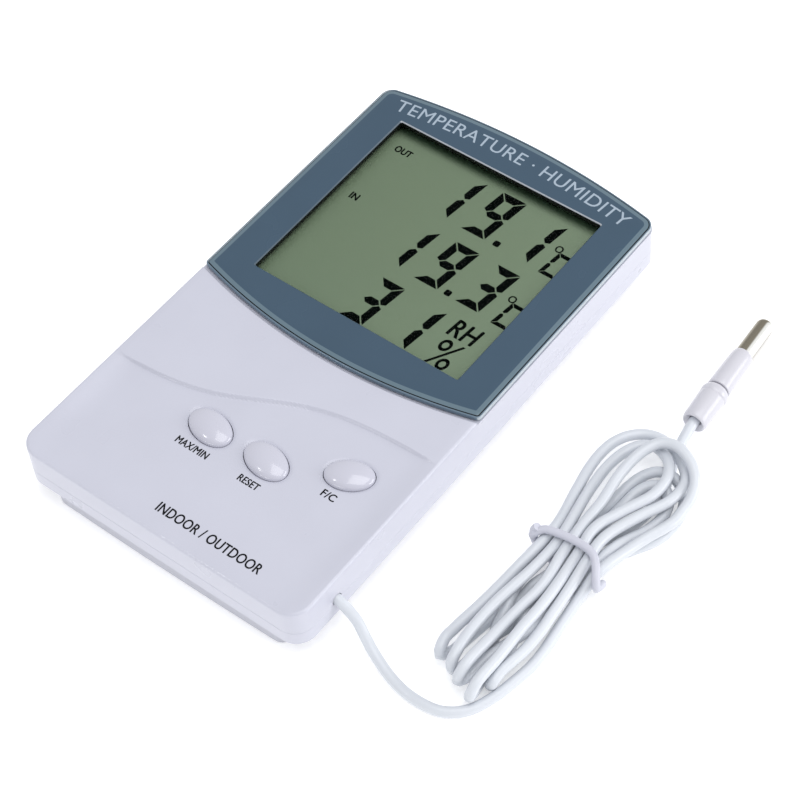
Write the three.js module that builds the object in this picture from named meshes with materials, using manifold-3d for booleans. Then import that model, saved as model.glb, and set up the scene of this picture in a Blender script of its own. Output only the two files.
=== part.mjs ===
// Digital indoor and outdoor maximum minimum thermometer with a wired probe, in millimetres.
// The instrument lies on its back: +X is right, +Y is towards the top of the display, +Z is out of it.
// The origin is the centre of the back face. Inside the `instrument` group, y runs up from the
// bottom end of the case and z is the height above the back face.
import * as THREE from "three";
import { mergeVertices } from "three/addons/utils/BufferGeometryUtils.js";
import Module from "manifold-3d";

const wasm = await Module();
wasm.setup();

// ---- Driving dimensions ---------------------------------------------------------------------

const GAP = 0.3;
const WALL = 2;

// Case outline.
const CASE_LENGTH = 157;
const CASE_TOP_BULGE = 4;
const HALF_WIDTH_BOTTOM = 47.2;
const HALF_WIDTH_TOP = 46.5;
const BOTTOM_CORNER = 6;
const TOP_CORNER = 4;

// Heights above the back face.
const PARTING = 8.5;
const FLANGE_TOP = 10.2;
const COVER_UNDERSIDE = 17.8;
const KEY_AREA_TOP = 19.8;
const BEZEL_SEAT = 20;
const COVER_TOP = 21;
const CASE_HEIGHT = 22;
const EDGE_ROUND = 1.2;

// Rear shell plateau.
const PLATEAU_HALF_WIDTH = 39.6;
const PLATEAU_END = 2.4;
const PLATEAU_CORNER = 3.5;
const PLATEAU_BULGE = 2.9;
const PLATEAU_FOOT = 1.8;
const PLATEAU_FOOT_BULGE = 0.3;
const PLATEAU_ROUND = 0.6;
const PLATEAU_WALL = 2.6;

// Display.
const BEZEL_BOTTOM_CORNER_Y = 75;
const BEZEL_DIP = 6.5;
const WINDOW = { halfWidth: 34.6, bottom: 82, top: 147.2 };
const LCD = { halfWidth: 36.6, bottom: 80.3, top: 148.9, under: 16.9, over: 18.75 };
const PANE = { under: 18.95, over: 19.85 };
const ELASTOMER = { halfLength: 31, width: 2.4, inset: 1 };
const TOUCH_GAP = 0.05;

// Circuit board.
const BOARD = { halfWidth: 43.4, bottom: 26, top: 148.8, under: 13.75, over: 14.75 };

// Keys: centre, half length, half width and tilt of each oval.
const KEYS = [
  { name: "max_min", x: -9.5, y: 33.8, length: 7.3, width: 4.7, tilt: -12 },
  { name: "reset", x: 9.3, y: 33.9, length: 7.3, width: 4.7, tilt: -12 },
  { name: "unit", x: 29.7, y: 42.7, length: 6.8, width: 4.7, tilt: 24 },
];
const KEY_CLEARANCE = 0.35;
const KEY_SIDES = 28;
const KEY_FLANGE = { under: 16.3, over: 17.5, lip: 0.9 };
const DOME = { over: 16.1, radius: 3.2 };

// Stand leg and its recess in the back.
const STAND = { halfWidth: 15, free: 9, pivotY: 66, pivotZ: 1.75, under: 0.3, over: 2.9, pin: 1.1 };
const STAND_ROOF = 3.4;
const STAND_ROOF_TOP = 5;

// AAA cell, lying across the case.
const CELL = { radius: 5.15, y: 103, z: 7, left: -19.6, right: 24.4, nub: 1.9 };
const BAY = { left: -27.2, right: 25.7, halfDepth: 5.6, roof: 12.5, wall: 1.2 };

// Battery door: a plate with a tongue along each long edge.
const DOOR = { left: -39.2, right: 27.4, halfDepth: 7.8, tongue: 1, under: 0.15, over: 1.5 };
const DOOR_TONGUE_UNDER = 0.8;
const DOOR_GUIDE_TOP = 3.2;

const GRIPS = { x: -36, pitch: 2.4, width: 1.2, halfLength: 4.5, depth: 0.6, count: 5 };

// Hanging keyhole and vent slots in the back.
const KEYHOLE = { y: 137, radius: 4, slotY: 144.5, slot: 2, depth: 4 };
const VENTS = { left: -35, right: -20, y: 124, pitch: 3.6, width: 1.6, count: 5 };

// Screws.
const CASE_SCREWS = [[33, 10], [-33, 10], [30, 151.6], [-30, 151.6]];
const BOARD_SCREWS = [[40.9, 32], [-40.9, 32], [40.9, 138], [-40.9, 138]];
const CASE_SCREW = { under: 1.3, over: 3.1, head: 2.4, shank: 1.2, end: 13 };
const BOARD_SCREW = { under: 12.3, over: 13.45, head: 2.1, shank: 0.9, end: 17 };
const CROSS_SLOT = { width: 0.7, depth: 0.7, reach: 0.62 };
const CASE_POST = { outer: 3.4, counterbore: 2.8, seat: 3.4, top: 7.1, bore: 1.6 };
const CASE_BOSS = { outer: 2.2, pilot: 1.4, under: 7.4 };
const BOARD_BOSS = { outer: 2.2, pilot: 1.05, under: 15.05 };

// Lead, probe and hank.
const LEAD_RADIUS = 1.5;
const LEAD_PITCH = 3.1;
const LEAD_EXIT = { y: 15, z: 13 };
const HANK = {
  x: 84.2, y: 63.3, lean: 0.07, waist: 7.75, lower: 10, upper: 13, lowerS: -36, upperS: 27,
};
const TIE_RADIUS = 1.1;
const PROBE = { x: 85.6, y: 116.6, z: 4.3, turn: 4, dip: -1.3 };

// ---- Materials ------------------------------------------------------------------------------

const finish = (color, roughness, metalness = 0) =>
  new THREE.MeshStandardMaterial({ color, roughness, metalness });
const whiteGloss = finish(0xe9eaf0, 0.25);
const whiteSatin = finish(0xe2e3ea, 0.45);
const bezelGlaze = finish(0x50627a, 0.2);
const clearSheet = finish(0xdfe8ea, 0.05);
const lcdGlass = finish(0x72806c, 0.3);
const rubber = finish(0x3b3d40, 0.8);
const boardGreen = finish(0x1f6b3c, 0.5);
const blackEpoxy = finish(0x111214, 0.35);
const steel = finish(0xc4c6c8, 0.28, 1);
const springSteel = finish(0xb9bcbf, 0.3, 1);
const cellJacket = finish(0x5a6d7a, 0.35, 0.4);
const leadVinyl = finish(0xe6ebf1, 0.4);
const redWire = finish(0xb3262a, 0.45);
const blackWire = finish(0x1b1b1d, 0.45);

// ---- Solid helpers --------------------------------------------------------------------------

function solid(geometry) {
  const bare = geometry.index ? geometry.toNonIndexed() : geometry.clone();
  bare.deleteAttribute("normal");
  bare.deleteAttribute("uv");
  const merged = mergeVertices(bare, 1e-4);
  return new wasm.Manifold(new wasm.Mesh({
    numProp: 3,
    vertProperties: new Float32Array(merged.attributes.position.array),
    triVerts: new Uint32Array(merged.index.array),
  }));
}

function geometryOf(manifold) {
  const mesh = manifold.getMesh();
  const geometry = new THREE.BufferGeometry();
  geometry.setAttribute("position", new THREE.BufferAttribute(mesh.vertProperties, 3));
  geometry.setIndex(new THREE.BufferAttribute(mesh.triVerts, 1));
  geometry.computeVertexNormals();
  return geometry;
}

function cut(base, ...tools) {
  return tools.reduce((left, tool) => left.subtract(tool), base);
}

function join(first, ...others) {
  return others.reduce((sum, other) => sum.add(other), first);
}

function plate(shape, from, to, curveSegments = 4) {
  const depth = to - from;
  const geometry = new THREE.ExtrudeGeometry(shape, { depth, bevelEnabled: false, curveSegments });
  return solid(geometry.translate(0, 0, from));
}

function block(x0, x1, y0, y1, z0, z1) {
  const geometry = new THREE.BoxGeometry(x1 - x0, y1 - y0, z1 - z0);
  return solid(geometry.translate((x0 + x1) / 2, (y0 + y1) / 2, (z0 + z1) / 2));
}

function post(x, y, radius, from, to, sides = 16) {
  const geometry = new THREE.CylinderGeometry(radius, radius, to - from, sides);
  return solid(geometry.rotateX(Math.PI / 2).translate(x, y, (from + to) / 2));
}

function crossRod(x0, x1, y, z, radius, sides = 16) {
  const geometry = new THREE.CylinderGeometry(radius, radius, x1 - x0, sides);
  return solid(geometry.rotateZ(Math.PI / 2).translate((x0 + x1) / 2, y, z));
}

function turned(profile, sides) {
  const points = profile.map(([r, z]) => new THREE.Vector2(r, z));
  return new THREE.LatheGeometry(points, sides).rotateX(Math.PI / 2);
}

function roundRect(x0, x1, y0, y1, radius) {
  const shape = new THREE.Shape();
  shape.moveTo(x0 + radius, y0);
  shape.lineTo(x1 - radius, y0);
  shape.absarc(x1 - radius, y0 + radius, radius, -Math.PI / 2, 0);
  shape.lineTo(x1, y1 - radius);
  shape.absarc(x1 - radius, y1 - radius, radius, 0, Math.PI / 2);
  shape.lineTo(x0 + radius, y1);
  shape.absarc(x0 + radius, y1 - radius, radius, Math.PI / 2, Math.PI);
  shape.lineTo(x0, y0 + radius);
  shape.absarc(x0 + radius, y0 + radius, radius, Math.PI, 1.5 * Math.PI);
  return shape;
}

// A curve through its points whose samples fall evenly between them, so close points make a fine bend.
class WaypointCurve extends THREE.CatmullRomCurve3 {
  getUtoTmapping(u) {
    return u;
  }
}

function sweep(points, radius, stepsEach = 2, sides = 3) {
  const curve = new WaypointCurve(points.map((p) => new THREE.Vector3(...p)), false, "centripetal");
  const circle = new THREE.Shape().absarc(0, 0, radius, 0, 2 * Math.PI);
  return new THREE.ExtrudeGeometry(circle, {
    extrudePath: curve,
    steps: stepsEach * (points.length - 1),
    curveSegments: sides,
  });
}

// ---- Group and mesh placement ---------------------------------------------------------------

const group = new THREE.Group();
const instrument = new THREE.Group();
instrument.position.y = -CASE_LENGTH / 2;
group.add(instrument);

function place(name, shape, material, parent = instrument) {
  const geometry = shape.isBufferGeometry ? shape : geometryOf(shape);
  const mesh = new THREE.Mesh(geometry, material.clone());
  mesh.name = name;
  parent.add(mesh);
  return mesh;
}

// ---- Outlines -------------------------------------------------------------------------------

function halfWidthAt(y) {
  return HALF_WIDTH_BOTTOM + ((HALF_WIDTH_TOP - HALF_WIDTH_BOTTOM) * y) / CASE_LENGTH;
}

function caseOutline(inset = 0) {
  const bottom = inset;
  const top = CASE_LENGTH - inset;
  const halfBottom = halfWidthAt(BOTTOM_CORNER) - inset;
  const halfTop = halfWidthAt(CASE_LENGTH) - inset;
  const low = BOTTOM_CORNER - inset;
  const high = Math.max(TOP_CORNER - inset, 0.8);
  const shape = new THREE.Shape();
  shape.moveTo(-halfBottom + low, bottom);
  shape.lineTo(halfBottom - low, bottom);
  shape.absarc(halfBottom - low, bottom + low, low, -Math.PI / 2, 0);
  shape.lineTo(halfTop, top - high);
  shape.absarc(halfTop - high, top - high, high, 0, Math.PI / 2);
  shape.quadraticCurveTo(0, top + 2 * CASE_TOP_BULGE, -halfTop + high, top);
  shape.absarc(-halfTop + high, top - high, high, Math.PI / 2, Math.PI);
  shape.lineTo(-halfBottom, bottom + low);
  shape.absarc(-halfBottom + low, bottom + low, low, Math.PI, 1.5 * Math.PI);
  return shape;
}

function plateauOutline(inset = 0, footBulge = PLATEAU_FOOT_BULGE) {
  const half = PLATEAU_HALF_WIDTH - inset;
  const bottom = PLATEAU_FOOT + inset;
  const top = CASE_LENGTH - PLATEAU_END + CASE_TOP_BULGE - PLATEAU_BULGE - inset;
  const r = PLATEAU_CORNER - inset;
  const shape = new THREE.Shape();
  shape.moveTo(-half + r, bottom);
  shape.quadraticCurveTo(0, bottom - 2 * footBulge, half - r, bottom);
  shape.absarc(half - r, bottom + r, r, -Math.PI / 2, 0);
  shape.lineTo(half, top - r);
  shape.absarc(half - r, top - r, r, 0, Math.PI / 2);
  shape.quadraticCurveTo(0, top + 2 * PLATEAU_BULGE, -half + r, top);
  shape.absarc(-half + r, top - r, r, Math.PI / 2, Math.PI);
  shape.lineTo(-half, bottom + r);
  shape.absarc(-half + r, bottom + r, r, Math.PI, 1.5 * Math.PI);
  return shape;
}

// The bezel covers the case from its lower arc, which dips in the middle, to the top edge.
function bezelOutline(inset) {
  const half = halfWidthAt(BEZEL_BOTTOM_CORNER_Y) - inset;
  const halfTop = halfWidthAt(CASE_LENGTH) - inset;
  const low = BEZEL_BOTTOM_CORNER_Y + inset;
  const top = CASE_LENGTH - inset;
  const high = TOP_CORNER - inset;
  const shape = new THREE.Shape();
  shape.moveTo(-half, low);
  shape.quadraticCurveTo(0, low - 2 * BEZEL_DIP, half, low);
  shape.lineTo(halfTop, top - high);
  shape.absarc(halfTop - high, top - high, high, 0, Math.PI / 2);
  shape.quadraticCurveTo(0, top + 2 * CASE_TOP_BULGE, -halfTop + high, top);
  shape.absarc(-halfTop + high, top - high, high, Math.PI / 2, Math.PI);
  return shape;
}

// The S-shaped step across the face: low on the left, rising to the right.
function stepY(x) {
  return 48.2 + 10 * Math.tanh((x + 4) / 20);
}

function keyAreaOutline() {
  const edge = 5;
  const half = HALF_WIDTH_TOP - edge;
  const pieces = 12;
  const shape = new THREE.Shape();
  shape.moveTo(-half + edge, edge);
  shape.lineTo(half - edge, edge);
  shape.absarc(half - edge, 2 * edge, edge, -Math.PI / 2, 0);
  for (let i = 0; i <= pieces; i++) {
    const x = half - (2 * half * i) / pieces;
    shape.lineTo(x, stepY(x));
  }
  shape.lineTo(-half, 2 * edge);
  shape.absarc(-half + edge, 2 * edge, edge, Math.PI, 1.5 * Math.PI);
  return shape;
}

// ---- Front cover ----------------------------------------------------------------------------

function keyHole(key) {
  const hole = new THREE.CylinderGeometry(1, 1, 8, KEY_SIDES).rotateX(Math.PI / 2);
  hole.scale(key.length + KEY_CLEARANCE, key.width + KEY_CLEARANCE, 1);
  hole.rotateZ(THREE.MathUtils.degToRad(key.tilt));
  return solid(hole.translate(key.x, key.y, KEY_AREA_TOP));
}

function frontCover() {
  const below = PARTING - 4;
  const body = new THREE.ExtrudeGeometry(caseOutline(EDGE_ROUND), {
    depth: COVER_TOP - below - 2 * EDGE_ROUND,
    bevelThickness: EDGE_ROUND,
    bevelSize: EDGE_ROUND,
    bevelSegments: 2,
    curveSegments: 4,
  }).translate(0, 0, below + EDGE_ROUND);
  const shell = cut(
    solid(body),
    block(-60, 60, -10, 180, 0, PARTING),
    plate(caseOutline(WALL), PARTING - 1, COVER_UNDERSIDE),
    plate(bezelOutline(-1), BEZEL_SEAT, CASE_HEIGHT),
    plate(keyAreaOutline(), KEY_AREA_TOP, CASE_HEIGHT),
    block(-LCD.halfWidth - GAP, LCD.halfWidth + GAP, LCD.bottom - GAP, LCD.top + GAP, 15, 21),
    crossRod(40, 55, LEAD_EXIT.y, LEAD_EXIT.z, LEAD_RADIUS + 0.2),
    ...KEYS.map(keyHole),
  );
  const roof = COVER_UNDERSIDE + 0.1;
  const caseBosses = CASE_SCREWS.map(([x, y]) => cut(
    post(x, y, CASE_BOSS.outer, CASE_BOSS.under, roof),
    post(x, y, CASE_BOSS.pilot, CASE_BOSS.under - 1, 14, 10),
  ));
  const boardBosses = BOARD_SCREWS.map(([x, y]) => cut(
    post(x, y, BOARD_BOSS.outer, BOARD_BOSS.under, roof, 12),
    post(x, y, BOARD_BOSS.pilot, BOARD_BOSS.under - 1, 17.5, 10),
  ));
  place("front_cover", join(shell, ...caseBosses, ...boardBosses), whiteGloss);
}

// ---- Display --------------------------------------------------------------------------------

function display() {
  const opening = roundRect(-WINDOW.halfWidth, WINDOW.halfWidth, WINDOW.bottom, WINDOW.top, 0.6);
  const bevel = 0.8;
  const under = BEZEL_SEAT + 0.25;
  const slab = new THREE.ExtrudeGeometry(bezelOutline(0.2 + bevel), {
    depth: CASE_HEIGHT - under,
    bevelThickness: bevel,
    bevelSize: bevel,
    bevelSegments: 1,
    curveSegments: 4,
  }).translate(0, 0, under - bevel);
  const bezel = cut(
    solid(slab),
    block(-60, 60, 50, 180, under - 3, under),
    plate(opening, under - 1, CASE_HEIGHT + 1),
  );
  place("display_bezel", bezel, bezelGlaze);

  const sheet = block(-LCD.halfWidth, LCD.halfWidth, LCD.bottom, LCD.top, PANE.under, PANE.over);
  place("window_pane", sheet, clearSheet);
  const glass = block(-LCD.halfWidth, LCD.halfWidth, LCD.bottom, LCD.top, LCD.under, LCD.over);
  place("lcd_panel", glass, lcdGlass);

  const rim = 1.4;
  const shelf = 2;
  const pocket = LCD.halfWidth + GAP;
  const outer = pocket + rim;
  const below = BOARD.under;
  const above = COVER_UNDERSIDE + 1;
  const frameUnder = BOARD.over + GAP;
  const frameTop = COVER_UNDERSIDE - GAP;
  const holder = cut(
    block(-outer, outer, LCD.bottom - GAP - rim, LCD.top + GAP + rim, frameUnder, frameTop),
    block(-pocket, pocket, LCD.bottom - GAP, LCD.top + GAP, LCD.under - 0.1, above),
    block(-LCD.halfWidth + shelf, LCD.halfWidth - shelf, LCD.bottom, LCD.top, below, above),
    ...CASE_SCREWS.slice(2).map(([x, y]) => post(x, y, CASE_BOSS.outer + GAP, below, above)),
  );
  place("lcd_frame", holder, whiteSatin);

  const { halfLength, width, inset } = ELASTOMER;
  const strip = (y) => block(
    -halfLength, halfLength, y, y + width, BOARD.over + TOUCH_GAP, LCD.under - TOUCH_GAP,
  );
  place("elastomer_strip_lower", strip(LCD.bottom + inset), rubber);
  place("elastomer_strip_upper", strip(LCD.top - inset - width), rubber);
}

// ---- Keys and their domes -------------------------------------------------------------------

function keyCap(key) {
  const { under: low, over: high, lip } = KEY_FLANGE;
  const shoulder = KEY_AREA_TOP + 0.2;
  const dome = [];
  const steps = 5;
  for (let i = 0; i <= steps; i++) {
    const angle = (i / steps) * (Math.PI / 2);
    dome.push([Math.cos(angle), shoulder + (CASE_HEIGHT - shoulder) * Math.sin(angle)]);
  }
  const cap = turned([[0, high - 0.2], [1, high - 0.2], ...dome], KEY_SIDES);
  cap.scale(key.length, key.width, 1);
  const flange = turned([[0, low], [1, low], [1, high], [0, high]], KEY_SIDES);
  flange.scale(key.length + lip, key.width + lip, 1);
  const mesh = place(`${key.name}_button`, join(solid(cap), solid(flange)), whiteGloss);
  mesh.position.set(key.x, key.y, 0);
  mesh.rotation.z = THREE.MathUtils.degToRad(key.tilt);

  const under = BOARD.over + 0.1;
  const profile = [
    [0, under],
    [DOME.radius, under],
    [DOME.radius, under + 0.4],
    [DOME.radius * 0.6, DOME.over],
    [0, DOME.over],
  ];
  place(`${key.name}_dome`, turned(profile, 16), rubber).position.set(key.x, key.y, 0);
}

// ---- Rear cover, stand and battery door -----------------------------------------------------

function doorChannel() {
  const { y } = CELL;
  const mouth = -PLATEAU_HALF_WIDTH - 3;
  const end = DOOR.right + GAP;
  const half = DOOR.halfDepth + GAP;
  return join(
    block(mouth, end, y - half, y + half, -1, DOOR.over + GAP),
    block(mouth, end, y - half - DOOR.tongue, y + half + DOOR.tongue,
      DOOR_TONGUE_UNDER - GAP, DOOR.over + GAP),
  );
}

function keyhole() {
  const { y, radius, slotY, slot, depth } = KEYHOLE;
  return join(
    post(0, y, radius, -1, depth, 20),
    post(0, slotY, slot, -1, depth),
    block(-slot, slot, y, slotY, -1, depth),
  );
}

function vents() {
  const { left, right, y, pitch, width, count } = VENTS;
  const slots = [];
  for (let i = 0; i < count; i++) {
    const low = y + pitch * i;
    slots.push(plate(roundRect(left, right, low, low + width, width / 2 - 0.05), -1, KEYHOLE.depth, 3));
  }
  return slots;
}

// The plateau's foot bulges under the front cover's wall, so a straight neck joins it to the flange.
function rearCover() {
  const round = PLATEAU_ROUND;
  const rounded = solid(new THREE.ExtrudeGeometry(plateauOutline(round), {
    depth: PARTING,
    bevelThickness: round,
    bevelSize: round,
    bevelSegments: 2,
    curveSegments: 4,
  }).translate(0, 0, round));
  const tub = cut(rounded, block(-60, 60, -10, 180, PARTING - 0.1, CASE_HEIGHT));
  const flange = plate(caseOutline(WALL + GAP), PARTING + 0.1, FLANGE_TOP);
  const neck = plate(plateauOutline(GAP, 0), PARTING - 1, FLANGE_TOP);
  const hollow = plate(plateauOutline(PLATEAU_WALL, 0), WALL, FLANGE_TOP + 1);
  const standX = STAND.halfWidth + 1;
  const standEnd = STAND.pivotY + 3;
  const { y } = CELL;
  const bayX0 = BAY.left - BAY.wall;
  const bayX1 = BAY.right + BAY.wall;
  const bayHalf = BAY.halfDepth + BAY.wall;
  const shell = join(
    cut(join(tub, neck, flange), hollow),
    block(-standX - 2.5, standX + 2.5, STAND.free - 5.5, standEnd + 1.5, 1, STAND_ROOF_TOP),
    block(bayX0, bayX1, y - bayHalf, y + bayHalf, 1, BAY.roof + 1),
    block(1 - PLATEAU_HALF_WIDTH, DOOR.right + 2, y - 11, y + 11, 1, DOOR_GUIDE_TOP),
    ...CASE_SCREWS.map(([px, py]) => post(px, py, CASE_POST.outer, 1, CASE_POST.top, 20)),
  );
  const thumbNotch = post(0, STAND.free, 5.5, -1, 2.2, 20);
  const cover = cut(
    shell,
    block(-standX, standX, STAND.free - 1, standEnd, -1, STAND_ROOF),
    thumbNotch,
    crossRod(-standX - 1.9, standX + 1.9, STAND.pivotY, STAND.pivotZ, STAND.pin + 0.15, 20),
    doorChannel(),
    block(BAY.left, BAY.right, y - BAY.halfDepth, y + BAY.halfDepth, 0, BAY.roof),
    block(bayX0 - 2, BAY.left + 1, y - 1.6, y + 1.6, 8.6, 10.6),
    block(BAY.right - 1, bayX1 + 2, y - 1.6, y + 1.6, 8.6, 10.6),
    keyhole(),
    ...vents(),
    ...CASE_SCREWS.flatMap(([px, py]) => [
      post(px, py, CASE_POST.counterbore, -1, CASE_POST.seat, 20),
      post(px, py, CASE_POST.bore, 0, 9, 12),
    ]),
  );
  place("rear_cover", cover, whiteSatin);
}

// The leg tapers to its free end. Its rounded hinge end carries two moulded pins.
function stand() {
  const { halfWidth, free, pivotY, pivotZ, under, over, pin } = STAND;
  const tip = halfWidth - 4;
  const outline = new THREE.Shape();
  outline.moveTo(-tip + 3, free);
  outline.lineTo(tip - 3, free);
  outline.quadraticCurveTo(tip, free, tip + 0.3, free + 3);
  outline.lineTo(halfWidth, pivotY - 12);
  outline.lineTo(halfWidth, pivotY);
  outline.lineTo(-halfWidth, pivotY);
  outline.lineTo(-halfWidth, pivotY - 12);
  outline.lineTo(-tip - 0.3, free + 3);
  outline.quadraticCurveTo(-tip, free, -tip + 3, free);
  const barrel = (over - under) / 2;
  const leg = cut(
    join(
      plate(outline, under, over),
      crossRod(-halfWidth, halfWidth, pivotY, (under + over) / 2, barrel, 20),
      crossRod(-halfWidth - 2.6, halfWidth + 2.6, pivotY, pivotZ, pin, 20),
    ),
    plate(roundRect(-8, 8, free + 12, pivotY - 14, 2), 1.9, 4),
  );
  place("stand", leg, whiteSatin);
}

function batteryDoor() {
  const { left, right, halfDepth, tongue, under, over } = DOOR;
  const y = CELL.y;
  const door = join(
    block(left, right, y - halfDepth, y + halfDepth, under, over),
    block(left, right, y - halfDepth - tongue, y + halfDepth + tongue, DOOR_TONGUE_UNDER, over),
  );
  const grips = [];
  for (let i = 0; i < GRIPS.count; i++) {
    const x = GRIPS.x + GRIPS.pitch * i;
    grips.push(block(x, x + GRIPS.width, y - GRIPS.halfLength, y + GRIPS.halfLength, 0, GRIPS.depth));
  }
  place("battery_door", cut(door, ...grips), whiteSatin);
}

// ---- Power ----------------------------------------------------------------------------------

function power() {
  const { radius, y, z, left, right, nub } = CELL;
  const can = right - 1;
  const cell = turned(
    [[0, left], [radius - 0.5, left], [radius, left + 0.6], [radius, can - 0.6], [radius - 0.5, can],
      [nub, can], [nub, right], [0, right]],
    24,
  ).rotateY(Math.PI / 2).translate(0, y, z);
  place("battery", cell, cellJacket);

  const tab = 0.4;
  const plus = join(
    block(right + 0.2, right + 0.2 + tab, y - 4.4, y + 4.4, 3, 11.6),
    block(right + 0.3, BAY.right + BAY.wall + 2, y - 1.2, y + 1.2, 9.4, 9.4 + tab),
  );
  place("positive_contact", plus, springSteel);
  const minus = join(
    block(BAY.left + 0.2, BAY.left + 0.2 + tab, y - 4.4, y + 4.4, 3, 11.6),
    block(BAY.left - BAY.wall - 2, BAY.left + 0.3, y - 1.2, y + 1.2, 9.4, 9.4 + tab),
  );
  place("negative_contact", minus, springSteel);

  const turns = 4.5;
  const perTurn = 10;
  const start = BAY.left + 0.2 + tab + 0.55;
  const end = left - 0.5;
  const coil = [];
  for (let i = 0; i <= turns * perTurn; i++) {
    const part = i / (turns * perTurn);
    const angle = (2 * Math.PI * i) / perTurn;
    const reach = 3.9 - 1.7 * part;
    coil.push([start + (end - start) * part, y + reach * Math.cos(angle), z + reach * Math.sin(angle)]);
  }
  place("battery_spring", sweep(coil, 0.35, 1, 3), springSteel);

  const boardUnder = BOARD.under - 0.45;
  const wire = (x, toX, toY) => sweep([
    [x, y, 10.6], [x + Math.sign(x) * 0.6, y - 3, 11.4], [(x + toX) / 2, (y + toY) / 2, 12.2],
    [toX, toY + 1.5, 12.6], [toX, toY, boardUnder],
  ], 0.5, 3, 3);
  place("positive_wire", wire(BAY.right + BAY.wall + 1, 32, 84), redWire);
  place("negative_wire", wire(BAY.left - BAY.wall - 1, -34, 84), blackWire);
}

// ---- Circuit board --------------------------------------------------------------------------

function electronics() {
  const outline = roundRect(-BOARD.halfWidth, BOARD.halfWidth, BOARD.bottom, BOARD.top, 2);
  const board = cut(
    plate(outline, BOARD.under, BOARD.over, 3),
    ...BOARD_SCREWS.map(([x, y]) => post(x, y, 1.3, 10, 18, 12)),
  );
  place("circuit_board", board, boardGreen);

  const face = BOARD.under - 0.05;
  const blob = turned([[0, face - 1.7], [2.6, face - 1.4], [4.3, face - 0.8], [5, face], [0, face]], 20);
  place("controller_blob", blob.translate(8, 58, 0), blackEpoxy);
  place("crystal_can", crossRod(20, 27, 58, face - 1.1, 1, 14), steel);

  const bead = turned([[0, -1.4], [1, -1.1], [1.3, 0], [0.5, 1.6], [0, 1.6]], 14);
  place("indoor_thermistor", bead.translate(-32, 121, face - 1.7), blackEpoxy);
  const sensor = cut(
    block(-34, -22, 127, 139, face - 3.6, face),
    ...[0, 1, 2].map((i) => block(-32, -24, 129 + 3 * i, 130.6 + 3 * i, 0, face - 2.8)),
  );
  place("humidity_sensor", sensor, whiteSatin);
}

// ---- Screws ---------------------------------------------------------------------------------

function screw(name, [x, y], { under, over, head, shank, end }) {
  const reach = head * CROSS_SLOT.reach;
  const half = CROSS_SLOT.width / 2;
  const depth = under + CROSS_SLOT.depth;
  const shape = cut(
    join(
      solid(turned([[0, under], [head * 0.85, under], [head, under + 0.4], [head, over], [0, over]], 12)),
      post(0, 0, shank, over - 0.3, end, 8),
    ),
    block(-reach, reach, -half, half, 0, depth),
    block(-half, half, -reach, reach, 0, depth),
  );
  place(name, shape, steel).position.set(x, y, 0);
}

function screws() {
  CASE_SCREWS.forEach((spot, i) => screw(`case_screw_${i + 1}`, spot, CASE_SCREW));
  BOARD_SCREWS.forEach((spot, i) => screw(`board_screw_${i + 1}`, spot, BOARD_SCREW));
}

// ---- Lead, hank and probe -------------------------------------------------------------------

// A place in the hank: `along` its length from the tie, `across` it, at height z.
function hankPoint(along, across, z) {
  return [HANK.x + HANK.lean * along + across, HANK.y + along, z];
}

// The strands rest on the table at both ends and are lifted over the tie in the middle.
function layerHeight(layer, along) {
  const lift = 2.6 * Math.exp(-((along / 16) ** 2));
  return LEAD_RADIUS + 0.1 + lift + layer * (2 * LEAD_RADIUS + 0.2);
}

// Distance of a straight strand from the middle of the hank, `inside` places in from the outer one.
function strandAcross(along, inside) {
  const end = along < 0 ? HANK.lower : HANK.upper;
  const reach = along < 0 ? HANK.lowerS : HANK.upperS;
  const part = 0.5 - 0.5 * Math.cos(Math.PI * Math.min(along / reach, 1));
  return HANK.waist + (end - HANK.waist) * part - LEAD_PITCH * inside;
}

function strand(from, to, side, inside, layer) {
  const points = [];
  const pieces = 7;
  for (let i = 0; i <= pieces; i++) {
    const along = from + ((to - from) * i) / pieces;
    points.push(hankPoint(along, side * strandAcross(along, inside), layerHeight(layer, along)));
  }
  return points;
}

// Half a turn at one end of the hank, from the side it arrives on to the other side.
function bend(along, from, to, layerFrom, layerTo, end) {
  const points = [];
  const pieces = 8;
  const middle = (from + to) / 2;
  const radius = Math.abs(from - to) / 2;
  for (let i = 1; i < pieces; i++) {
    const angle = (Math.PI * i) / pieces;
    const layer = layerFrom + ((layerTo - layerFrom) * i) / pieces;
    const across = middle + ((from - to) / 2) * Math.cos(angle);
    points.push(hankPoint(along + end * radius * Math.sin(angle), across, layerHeight(layer, along)));
  }
  return points;
}

function hank() {
  // Each turn: how far in its right and left strands lie, and their layer.
  const turns = [
    { right: 0, left: 0, layer: 0 },
    { right: 1, left: 1, layer: 0 },
    { right: 2, left: 2, layer: 0 },
    { right: 2, left: 1, layer: 1 },
    { right: 1, left: 0, layer: 1 },
  ];
  const { lowerS, upperS } = HANK;
  const points = [];
  turns.forEach((turn, i) => {
    const next = turns[i + 1] ?? { right: 0, layer: 1 };
    const rightTop = strandAcross(upperS, turn.right);
    const leftTop = -strandAcross(upperS, turn.left);
    const leftLow = -strandAcross(lowerS, turn.left);
    const rightLow = strandAcross(lowerS, next.right);
    points.push(
      ...strand(lowerS, upperS, 1, turn.right, turn.layer),
      ...bend(upperS, rightTop, leftTop, turn.layer, turn.layer, 1),
      ...strand(upperS, lowerS, -1, turn.left, turn.layer),
      ...bend(lowerS, leftLow, rightLow, turn.layer, next.layer, -1),
    );
  });
  points.push(...strand(lowerS, upperS - 6, 1, 0, 1));
  return points;
}

function probeGroup() {
  const probe = new THREE.Group();
  probe.position.set(PROBE.x, PROBE.y, PROBE.z);
  probe.rotation.set(
    THREE.MathUtils.degToRad(-90 + PROBE.dip), 0, THREE.MathUtils.degToRad(PROBE.turn), "ZYX",
  );
  instrument.add(probe);
  return probe;
}

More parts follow.
